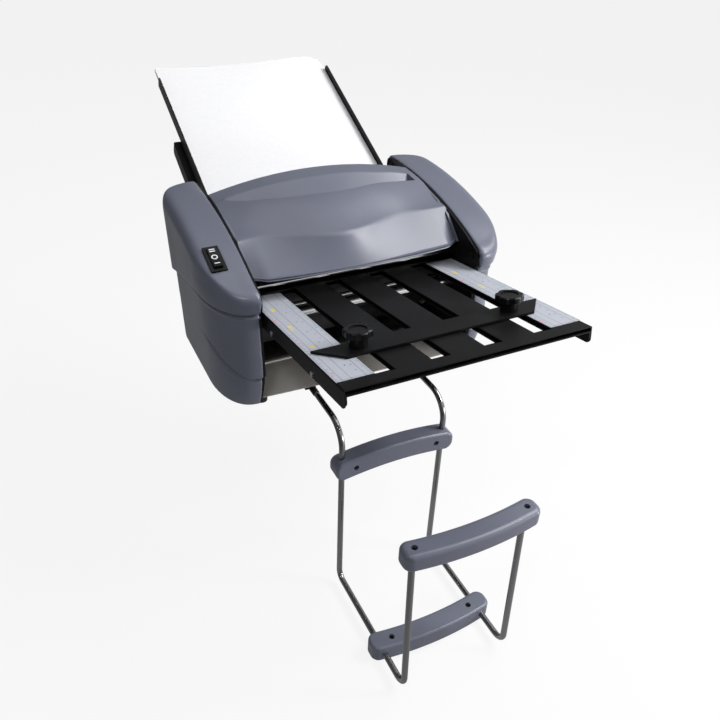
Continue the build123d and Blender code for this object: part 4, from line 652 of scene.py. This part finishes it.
class FOLDER_OT_chute(bpy.types.Operator):
    """Bend the exit chute with its bowed lip"""
    bl_idname = "folder.chute"
    bl_label = "Exit chute"

    def execute(self, context):
        mesh = bmesh.new()
        lines = []
        fold = CHUTE_REAR[1] + CHUTE_LIP
        for index in range(CHUTE_COLUMNS + 1):
            share = index / CHUTE_COLUMNS
            front = CHUTE_FRONT[0] - CHUTE_REACH * share * (2.0 - share)
            low = CHUTE_FRONT[1] + CHUTE_RISE * share
            lines.append((CHUTE_HALF * (2.0 * share - 1.0),
                          rounded([(CHUTE_REAR[0] + CHUTE_FOLD[0], fold, 0.0),
                                   (CHUTE_REAR[0] + CHUTE_FOLD[1], fold, CHUTE_RADII[0]),
                                   (*CHUTE_REAR, CHUTE_RADII[1]), (front, low, 0.0)])))
        skin(mesh, lines)
        bmesh.ops.recalc_face_normals(mesh, faces=mesh.faces)
        bmesh.ops.solidify(mesh, geom=mesh.faces[:], thickness=CHUTE_WALL)
        bmesh.ops.recalc_face_normals(mesh, faces=mesh.faces)
        bmesh.ops.scale(mesh, vec=(MM, MM, MM), verts=mesh.verts)
        look = context.scene.folder_housing
        piece = new_piece("chute_sheet", mesh,
                          plain_metal("rolled_sheet", look.sheet, SHEET_ROUGHNESS,
                                      SHEET_STRETCH, CHUTE_BARE),
                          "machine", smooth=True)
        piece.data.set_sharp_from_angle(angle=SHARP_ANGLE)
        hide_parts("exit_chute")
        return {"FINISHED"}


# Side covers in millimetres, with the weld in metres. Valley and ledge are (depth, half width),
# ridge and swell are (height, place above the crease, half width).
COVERS = {"left_side_cover": -1.0, "right_side_cover": 1.0}
COVER_MIDDLE = (119.4, 0.0, 95.0)
COVER_VOXEL = 1.35
COVER_WELD = 0.00001
COVER_SMOOTHING = 0.5
COVER_PASSES = 3
CREASE_FRONT = (-103.0, 119.5)
CREASE_FALL = 41.0
CREASE_LENGTH = 209.0
VALLEY = (3.2, 1.5)
RIDGE = (1.6, -3.8, 1.4)
BROW_SWELL = (2.0, 15.0, 9.0)
LEDGE_Z = 48.0
LEDGE_RISE = 23.0
LEDGE_SPAN = 37.0
LEDGE_SINK = (4.0, 1.8)
CREASE_FADE = (1.9, 0.06)
NOSE_FADE = 2.5


class FOLDER_OT_covers(bpy.types.Operator):
    """Soften the side covers and sink the crease between their halves"""
    bl_idname = "folder.covers"
    bl_label = "Side covers"

    def execute(self, context):
        look = context.scene.folder_housing
        finish = moulded_plastic("slate_side_plastic", look.cover, look.roughness, look.grain)
        for node, side in COVERS.items():
            mesh = bmesh.new()
            mesh.from_mesh(NODES[node].data)
            bmesh.ops.remove_doubles(mesh, verts=mesh.verts, dist=COVER_WELD)
            piece = new_piece(node.replace("_cover", "_moulding"), mesh, finish, "machine")
            voxels = piece.modifiers.new("even", "REMESH")
            voxels.mode = "VOXEL"
            voxels.voxel_size = COVER_VOXEL * MM
            depsgraph = context.evaluated_depsgraph_get()
            even = bpy.data.meshes.new_from_object(piece.evaluated_get(depsgraph))
            piece.modifiers.clear()
            mesh = bmesh.new()
            mesh.from_mesh(even)
            bpy.data.meshes.remove(even)
            for _ in range(COVER_PASSES):
                bmesh.ops.smooth_vert(mesh, verts=mesh.verts, factor=COVER_SMOOTHING,
                                      use_axis_x=True, use_axis_y=True, use_axis_z=True)
            mesh.normal_update()
            middle = Vector(COVER_MIDDLE) * MM
            middle.x *= side
            shifts = []
            for vert in mesh.verts:
                if (vert.co - middle).dot(vert.normal) > 0:
                    shifts.append((vert, vert.normal * self.relief(vert.co / MM) * MM))
            for vert, shift in shifts:
                vert.co += shift
            mesh.to_mesh(piece.data)
            mesh.free()
            piece.data.shade_smooth()
            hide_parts(node)
        return {"FINISHED"}

    def relief(self, spot):
        """Height that the crease, the swell above it and the toe ledge add at a spot."""
        part = max(spot.y - CREASE_FRONT[0], 0.0) / CREASE_LENGTH
        above = spot.z - CREASE_FRONT[1] + CREASE_FALL * part * part
        valley = -VALLEY[0] * math.exp(-(above / VALLEY[1]) ** 2)
        ridge = RIDGE[0] * math.exp(-((above - RIDGE[1]) / RIDGE[2]) ** 2)
        brow = BROW_SWELL[0] * math.exp(-((above - BROW_SWELL[1]) / BROW_SWELL[2]) ** 2)
        out = (abs(spot.x) - COVER_MIDDLE[0]) / LEDGE_SPAN
        ledge = spot.z - LEDGE_Z - LEDGE_RISE * max(out, 0.0) ** 3
        sink = -LEDGE_SINK[0] * math.exp(-((ledge + LEDGE_SINK[1]) / LEDGE_SINK[1]) ** 2)
        near = max(1.0 - part * NOSE_FADE, 0.0)
        crease = max(1.0 - CREASE_FADE[0] * part, CREASE_FADE[1])
        return (valley + ridge) * crease + (brow + sink) * near


# Paper stack: its front edge in metres, and its curl as (rise in millimetres, place across and
# half width in shares of half the sheet)
STACK_EDGE = (0.0, 0.0423, 0.1318)
STACK_SLOPE = math.radians(25.5)
STACK_PLACE = Matrix.Translation(STACK_EDGE) @ Matrix.Rotation(STACK_SLOPE, 4, "X")
STACK_DEPTH = 5.0 * MM
SHEET_WIDTH = 215.9 * MM
SHEET_LENGTH = 279.4 * MM
SHEET_SEED = 7
SHEET_SHIFT = (0.25, 0.5)
SHEET_GRID = (28, 34)
SHEET_BODY = 0.86
CURL_START = 205.0 * MM
CURL_SAG = (-2.6, -0.25, 0.5)
CURL_LIFT = (2.0, 0.72, 0.28)
CURL_TIP = -5.0
TIP_START = (0.86, 0.8)
TIP_SPAN = (0.14, 0.2)


class FOLDER_OT_sheets(bpy.types.Operator):
    """Lay the sheets of the stack one bundle on another"""
    bl_idname = "folder.sheets"
    bl_label = "Sheets"

    def execute(self, context):
        look = context.scene.folder_paper
        chance = random.Random(SHEET_SEED)
        side, front = SHEET_SHIFT
        count = int(STACK_DEPTH / look.step)
        pitch = STACK_DEPTH / count
        mesh = bmesh.new()
        for index in range(count):
            height = (index + 1) / count
            shift = Vector((chance.uniform(-side, side) * MM, chance.uniform(-front, 0.0) * MM, 0))
            if index == count - 1:
                shift = Vector((0.0, 0.0, 0.0))
            made = bmesh.ops.create_grid(mesh, x_segments=SHEET_GRID[0],
                                         y_segments=SHEET_GRID[1], size=0.5)
            for vert in made["verts"]:
                x, y, _ = vert.co
                x, y = x * SHEET_WIDTH, (y + 0.5) * SHEET_LENGTH
                rise = self.curl(x, y) * height * height
                vert.co = Vector((x, y, -STACK_DEPTH + pitch * height * count + rise)) + shift
        faces = mesh.faces[:]
        bmesh.ops.solidify(mesh, geom=faces, thickness=pitch * SHEET_BODY)
        bmesh.ops.recalc_face_normals(mesh, faces=mesh.faces)
        bmesh.ops.transform(mesh, matrix=STACK_PLACE, verts=mesh.verts)
        piece = new_piece("paper_sheets", mesh, copy_paper("copy_paper", look.sheet), "stack")
        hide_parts("paper_stack")
        return {"FINISHED"}

    def curl(self, x, y):
        """Rise of the top sheet's free end, which sags in the middle and lifts at the right."""
        along = max(y - CURL_START, 0.0) / (SHEET_LENGTH - CURL_START)
        across = x / (SHEET_WIDTH / 2)
        sag, lift = (rise * MM * math.exp(-((across - place) / half) ** 2)
                     for rise, place, half in (CURL_SAG, CURL_LIFT))
        tip = (CURL_TIP * MM * max(across - TIP_START[0], 0.0) / TIP_SPAN[0]
               * max(along - TIP_START[1], 0.0) / TIP_SPAN[1])
        return (sag + lift) * along * along + tip


def copy_paper(name, colour):
    """Uncoated white paper with a faint formation cloud and fibre grain."""
    finish = Finish(name)
    where = finish.place()
    cloud = finish.noise(where, scale=220.0, detail=3.0)
    fibre = finish.noise(where, scale=2400.0, detail=3.0)
    dull = worn(colour, factor=0.975)
    finish.set(base_color=finish.blend(cloud.ramp(low=0.35, high=0.7), colour, dull),
               roughness=PAPER_LEAST + fibre * PAPER_FIBRES,
               normal=finish.bump(fibre, strength=0.12, depth=0.00003),
               specular_ior_level=0.2)
    return finish.material


# Printed strips on the front table, in its own plane in millimetres
TABLE_TURN = math.radians(-9.225)
TABLE_EDGE = Vector((0.0, -0.272111, 0.147463))
TABLE_PLACE = Matrix.Translation(TABLE_EDGE) @ Matrix.Rotation(TABLE_TURN, 4, "X")
STRIP_LEFT = -115.3
STRIP_RIGHT = 83.6
STRIP_WIDTH = 31.7
STRIP_START = 14.3
STRIP_TOP = 0.4
RULE_LINES = (5.6, 12.9, 25.3)
RULE_HALF = 0.2
BORDER_PLACE = 1.6
BORDER_HALF = 0.16

# Ticks are (period, half width, inner end), and rows of numbers are
# (place across, height of the digits, first place along, step, count, first number)
TICK_START = 0.5
INCH_TICKS = ((1.5875, 0.16, 2.0), (6.35, 0.2, 3.0), (12.7, 0.24, 4.2))
METRIC_TICKS = ((2.0, 0.16, 2.2), (10.0, 0.24, 3.6))
NUMBER_ROWS = ((17.9, 3.0, 38.0, 25.4, 7, 8), (22.2, 1.9, 26.5, 10.0, 17, 21))
DIGIT_HALF = 0.02
DOT_HEIGHT = 0.04
DOT_LIFT = 0.03
DOT_SEGMENTS = 20
INK_SHARE, INK_WEAR = 0.8, 0.2
FILM_LEAST, FILM_CLOUD = 0.34, 0.1
PRINT_ROUGHNESS = 0.5
DOT_ROUGHNESS = 0.4

# Guide dots: colour, radius, and (across, along) places
GUIDE_DOTS = {
    "yellow": ((0.80, 0.62, 0.03), 1.9, ((9.7, 82.4), (8.5, 131.7), (8.5, 125.4), (9.3, 180.0),
                                        (9.3, 175.4))),
    "pink": ((0.75, 0.22, 0.30), 1.3, ((3.8, 29.6), (3.0, 94.3), (2.9, 152.7))),
    "cyan": ((0.10, 0.45, 0.52), 1.1, ((27.8, 175.7), (27.8, 170.3), (28.4, 124.4), (28.4, 119.4))),
}


def printed_film(name, colour, ink):
    """Pale film with ruled lines and rows of scale ticks along it."""
    finish = Finish(name)
    where = finish.place((TABLE_TURN, 0.0, 0.0), TABLE_EDGE, (MM, MM, MM))
    x, along, _ = finish.axes(where)
    across = x - STRIP_LEFT - x.more(0.0) * (STRIP_RIGHT - STRIP_LEFT)
    mask = (along - (STRIP_START + BORDER_PLACE)).math("ABSOLUTE").less(BORDER_HALF)
    for line in RULE_LINES:
        mask = mask + (across - line).math("ABSOLUTE").less(RULE_HALF)
    for period, half, end in INCH_TICKS:
        mask = mask + along.wave(period).less(half) * across.less(end) * across.more(TICK_START)
    for period, half, end in METRIC_TICKS:
        mask = mask + (along.wave(period).less(half) * across.more(STRIP_WIDTH - end)
                       * across.less(STRIP_WIDTH - TICK_START))
    cloud = finish.noise(finish.place(), scale=160.0)
    inked = mask.clamped() * (INK_SHARE - cloud.ramp(low=0.4, high=0.8) * INK_WEAR)
    finish.set(base_color=finish.blend(inked, colour, ink),
               roughness=FILM_LEAST + cloud * FILM_CLOUD,
               normal=finish.bump(cloud, strength=0.05, depth=0.00003))
    return finish.material


class FOLDER_OT_scales(bpy.types.Operator):
    """Print the scale numbers and guide dots on both strips"""
    bl_idname = "folder.scales"
    bl_label = "Scales"

    def execute(self, context):
        look = context.scene.folder_paper
        NODES["scale_strips"].data.materials.clear()
        NODES["scale_strips"].data.materials.append(
            printed_film("scale_film", look.film, look.ink))
        ink = moulded_plastic("scale_ink", look.ink, PRINT_ROUGHNESS, grain=0.0)
        digits = bmesh.new()
        for start in (STRIP_LEFT, STRIP_RIGHT):
            for across, size, first, pitch, count, top in NUMBER_ROWS:
                for step in range(count):
                    self.number(digits, str(top - step), size, start + across,
                                first + step * pitch)
        new_piece("scale_numbers", digits, ink, "front_table")
        for key, (colour, radius, spots) in GUIDE_DOTS.items():
            dots = bmesh.new()
            for start in (STRIP_LEFT, STRIP_RIGHT):
                for across, along in spots:
                    place = Matrix.Translation((start + across, along, STRIP_TOP + DOT_LIFT))
                    bmesh.ops.create_cone(dots, cap_ends=True, segments=DOT_SEGMENTS,
                                          radius1=radius, radius2=radius, depth=DOT_HEIGHT,
                                          matrix=place)
            bmesh.ops.scale(dots, vec=(MM, MM, MM), verts=dots.verts)
            bmesh.ops.transform(dots, matrix=TABLE_PLACE, verts=dots.verts)
            print_finish = moulded_plastic(key + "_print", colour, DOT_ROUGHNESS, grain=0.0)
            new_piece("guide_dots_" + key, dots, print_finish, "front_table")
        return {"FINISHED"}

    def number(self, mesh, text, size, x, along):
        """Thin raised digits, centred on a place of the table."""
        curve = bpy.data.curves.new("number", "FONT")
        curve.body = text
        curve.size = size
        curve.extrude = DIGIT_HALF
        curve.resolution_u = 2
        curve.align_x = "CENTER"
        curve.align_y = "CENTER"
        holder = bpy.data.objects.new("number", curve)
        data = bpy.data.meshes.new_from_object(holder)
        bpy.data.objects.remove(holder)
        bpy.data.curves.remove(curve)
        place = TABLE_PLACE @ Matrix.Diagonal((MM, MM, MM, 1.0))
        data.transform(place @ Matrix.Translation((x, along, STRIP_TOP + DIGIT_HALF)))
        mesh.from_mesh(data)
        bpy.data.meshes.remove(data)


# Rocker and its printed marks in millimetres
SWITCH_TILT = math.radians(18.5)
ROCKER_HIGH = 5.0
ROCKER_WAIST = 4.0
ROCKER_HALF = 12.35
MARK_LONG = 5.4
MARK_THIN = 1.15
MARK_LIFT = 0.04
PAIR_PLACES = (7.6, 9.9)
LONE_PLACE = -8.2
RING_PLACE = 0.3
RING_RADIUS = 3.0
RING_SEGMENTS = 36
MARK_CUTS = 2


class FOLDER_OT_switch(bpy.types.Operator):
    """Print the position marks on the rocker"""
    bl_idname = "folder.switch"
    bl_label = "Switch"

    def execute(self, context):
        marks = bmesh.new()
        for y in (*PAIR_PLACES, LONE_PLACE):
            slab(marks, (-MARK_LONG / 2, y - MARK_THIN / 2, -MARK_LIFT),
                 (MARK_LONG / 2, y + MARK_THIN / 2, MARK_LIFT))
        bmesh.ops.subdivide_edges(marks, edges=marks.edges, cuts=MARK_CUTS,
                                   use_grid_fill=True)
        start = marks.verts[:]
        rims = [bmesh.ops.create_circle(marks, segments=RING_SEGMENTS, radius=radius)["verts"]
                for radius in (RING_RADIUS, RING_RADIUS - MARK_THIN)]
        edges = {edge for rim in rims for vert in rim for edge in vert.link_edges}
        faces = bmesh.ops.bridge_loops(marks, edges=list(edges))["faces"]
        side = bmesh.ops.extrude_face_region(marks, geom=faces)["geom"]
        top = [item for item in side if isinstance(item, bmesh.types.BMVert)]
        bmesh.ops.translate(marks, vec=(0.0, 0.0, MARK_LIFT), verts=top)
        ring = [vert for vert in marks.verts if vert not in start]
        bmesh.ops.translate(marks, vec=(0.0, RING_PLACE, 0.0), verts=ring)
        for vert in marks.verts:
            rise = (ROCKER_HIGH - ROCKER_WAIST) * abs(vert.co.y) / ROCKER_HALF
            vert.co.z += ROCKER_WAIST + rise + MARK_LIFT
        bmesh.ops.recalc_face_normals(marks, faces=marks.faces)
        bmesh.ops.scale(marks, vec=(MM, MM, MM), verts=marks.verts)
        bmesh.ops.transform(marks, matrix=self.place(), verts=marks.verts)
        white = moulded_plastic("switch_print", colour=(0.70, 0.71, 0.72),
                                roughness=PRINT_ROUGHNESS, grain=0.0)
        new_piece("switch_marks", marks, white, "rocker")
        return {"FINISHED"}

    def place(self):
        """The switch's own frame: its pivot is the middle of the rocker's joint."""
        joint = next(item for item in frame["joints"] if item["name"] == "switch_rock")
        return Matrix.Translation(joint["pos_m"]) @ Matrix.Rotation(SWITCH_TILT, 4, "X")


# Camera and floor in metres and degrees, with the sensor in millimetres and the focal length and
# the picture's side in pixels
CAMERA_PLACE = (-0.301149, -0.655636, 0.460533)
CAMERA_TURN = (56.15037, -1.77392, -26.07934)
CAMERA_FOCAL = 730.113
CAMERA_END = 60.0
PICTURE_SIDE = 720.0
SENSOR_WIDTH = 36.0
FLOOR_HALF = 12.0
FLOOR_GAP = 0.0005

# Lamps are (name, setting with its power, side of the square, place)
LAMPS = (
    ("key", "key", 0.8, (0.92, -0.26, 1.18)),
    ("top", "fill", 1.2, (0.1, 0.1, 1.7)),
    ("brow", "spark", 0.25, (0.95, -0.72, 0.90)),
    ("side", "side", 0.30, (1.05, -0.85, 0.05)),
    ("glint", "glint", 0.12, (-0.55, -0.75, 1.15)),
)
LAMP_AIM = Vector((0.0, -0.08, 0.05))

# Brightness in reflections: how it grows in each direction, over what range, and how far
SKY_RIGHT, SKY_FRONT, SKY_UP = 0.6, 0.2, 0.6
SKY_RANGE = (0.0, 1.0)
SKY_MOST = 0.9
FLOOR_RIGHT, FLOOR_BACK = 0.8, 0.15
FLOOR_RANGE = (-0.45, 0.7)
FLOOR_MOST = 1.0

# Floor: how much of it glows for the camera, then its least roughness and what the cloud adds
FLOOR_SEEN = 0.86
FLOOR_LEAST, FLOOR_CLOUD = 0.9, 0.05


class FOLDER_OT_stage(bpy.types.Operator):
    """Set the camera, the floor and the studio light"""
    bl_idname = "folder.stage"
    bl_label = "Stage"

    def execute(self, context):
        look = context.scene.folder_stage
        scene = context.scene
        low = CAD_BOX[0][2]
        mesh = bmesh.new()
        bmesh.ops.create_grid(mesh, x_segments=1, y_segments=1, size=FLOOR_HALF)
        bmesh.ops.translate(mesh, verts=mesh.verts, vec=(0.0, 0.0, low - FLOOR_GAP))
        data = bpy.data.meshes.new("floor")
        mesh.to_mesh(data)
        mesh.free()
        floor = bpy.data.objects.new("floor", data)
        scene.collection.objects.link(floor)
        data.materials.append(self.floor_finish(look))

        camera = bpy.data.objects.new("camera", bpy.data.cameras.new("camera"))
        scene.collection.objects.link(camera)
        camera.data.sensor_width = SENSOR_WIDTH
        camera.data.lens = SENSOR_WIDTH * CAMERA_FOCAL / PICTURE_SIDE
        camera.data.clip_end = CAMERA_END
        camera.location = CAMERA_PLACE
        camera.rotation_euler = Euler([math.radians(angle) for angle in CAMERA_TURN])
        scene.camera = camera

        for name, setting, size, place in LAMPS:
            self.lamp(context, name, getattr(look, setting), size, place)

        scene.world = self.studio(look)
        scene.view_settings.view_transform = "Standard"
        return {"FINISHED"}

    def lamp(self, context, name, power, size, place):
        lamp = bpy.data.lights.new(name, "AREA")
        lamp.energy = power
        lamp.size = size
        thing = bpy.data.objects.new(name, lamp)
        context.scene.collection.objects.link(thing)
        thing.location = place
        aim = LAMP_AIM - Vector(place)
        thing.rotation_euler = aim.to_track_quat("-Z", "Y").to_euler()

    def studio(self, look):
        """World that the camera sees as white, brightest at the right and above in reflections."""
        world = bpy.data.worlds.new("studio")
        tree = Tree(world, "ShaderNodeOutputWorld")
        x, y, z = tree.axes(tree.node("ShaderNodeTexCoord"))
        slope = x * SKY_RIGHT - y * SKY_FRONT + z * SKY_UP
        bright = slope.ramp(*SKY_RANGE, look.mirror, SKY_MOST)
        seen = tree.seen()
        glossy = tree.ray("Is Glossy Ray")
        strength = seen + glossy * bright + (1.0 - seen) * (1.0 - glossy) * look.sky
        sky = tree.node("ShaderNodeBackground", {}, {"Color": (1.0, 1.0, 1.0),
                                                     "Strength": strength})
        tree.links.new(sky.socket, tree.out)
        return world

    def floor_finish(self, look):
        """Floor that the camera sees as nearly white with its shadow, and that dims to the left."""
        finish = Finish("pale_floor")
        cloud = finish.noise(finish.place(), scale=3.0)
        finish.set(base_color=look.floor, roughness=FLOOR_LEAST + cloud * FLOOR_CLOUD)
        seen = finish.seen()
        glossy = finish.ray("Is Glossy Ray")
        x, y, _ = finish.axes(finish.place())
        slope = x * FLOOR_RIGHT + y * FLOOR_BACK
        bright = slope.ramp(*FLOOR_RANGE, look.mirror, FLOOR_MOST)
        glow = finish.node("ShaderNodeEmission", {}, {"Color": (1.0, 1.0, 1.0),
                                                      "Strength": seen + glossy * bright})
        mix = finish.node("ShaderNodeMixShader", {}, {0: seen * FLOOR_SEEN + glossy,
                                                      1: Value(finish, finish.shader.outputs[0]),
                                                      2: glow})
        finish.links.new(mix.socket, finish.out)
        return finish.material


class FOLDER_PT_panel(bpy.types.Panel):
    """Sidebar panel of the paper folder"""
    bl_idname = "FOLDER_PT_panel"
    bl_label = "Paper folder"
    bl_space_type = "VIEW_3D"
    bl_region_type = "UI"
    bl_category = "Folder"

    def draw(self, context):
        column = self.layout.column()
        for operator in OPERATORS:
            column.operator(operator.bl_idname)
        for group in ("folder_housing", "folder_basket", "folder_paper", "folder_stage"):
            look = getattr(context.scene, group)
            for key in look.__annotations__:
                column.prop(look, key)


OPERATORS = (FOLDER_OT_finishes, FOLDER_OT_hood, FOLDER_OT_chute, FOLDER_OT_covers,
             FOLDER_OT_sheets, FOLDER_OT_scales, FOLDER_OT_switch, FOLDER_OT_stage)
GROUPS = {
    "folder_housing": HousingLook,
    "folder_basket": BasketLook,
    "folder_paper": PaperLook,
    "folder_stage": StageLook,
}


def register():
    for group in GROUPS.values():
        bpy.utils.register_class(group)
    for operator in OPERATORS:
        bpy.utils.register_class(operator)
    bpy.utils.register_class(FOLDER_PT_panel)
    for name, group in GROUPS.items():
        setattr(bpy.types.Scene, name, PointerProperty(type=group))


def unregister():
    for name in GROUPS:
        delattr(bpy.types.Scene, name)
    bpy.utils.unregister_class(FOLDER_PT_panel)
    for operator in reversed(OPERATORS):
        bpy.utils.unregister_class(operator)
    for group in reversed(GROUPS.values()):
        bpy.utils.unregister_class(group)


def main():
    register()
    for operator in OPERATORS:
        space, name = operator.bl_idname.split(".")
        getattr(getattr(bpy.ops, space), name)()


if __name__ == "__main__":
    main()
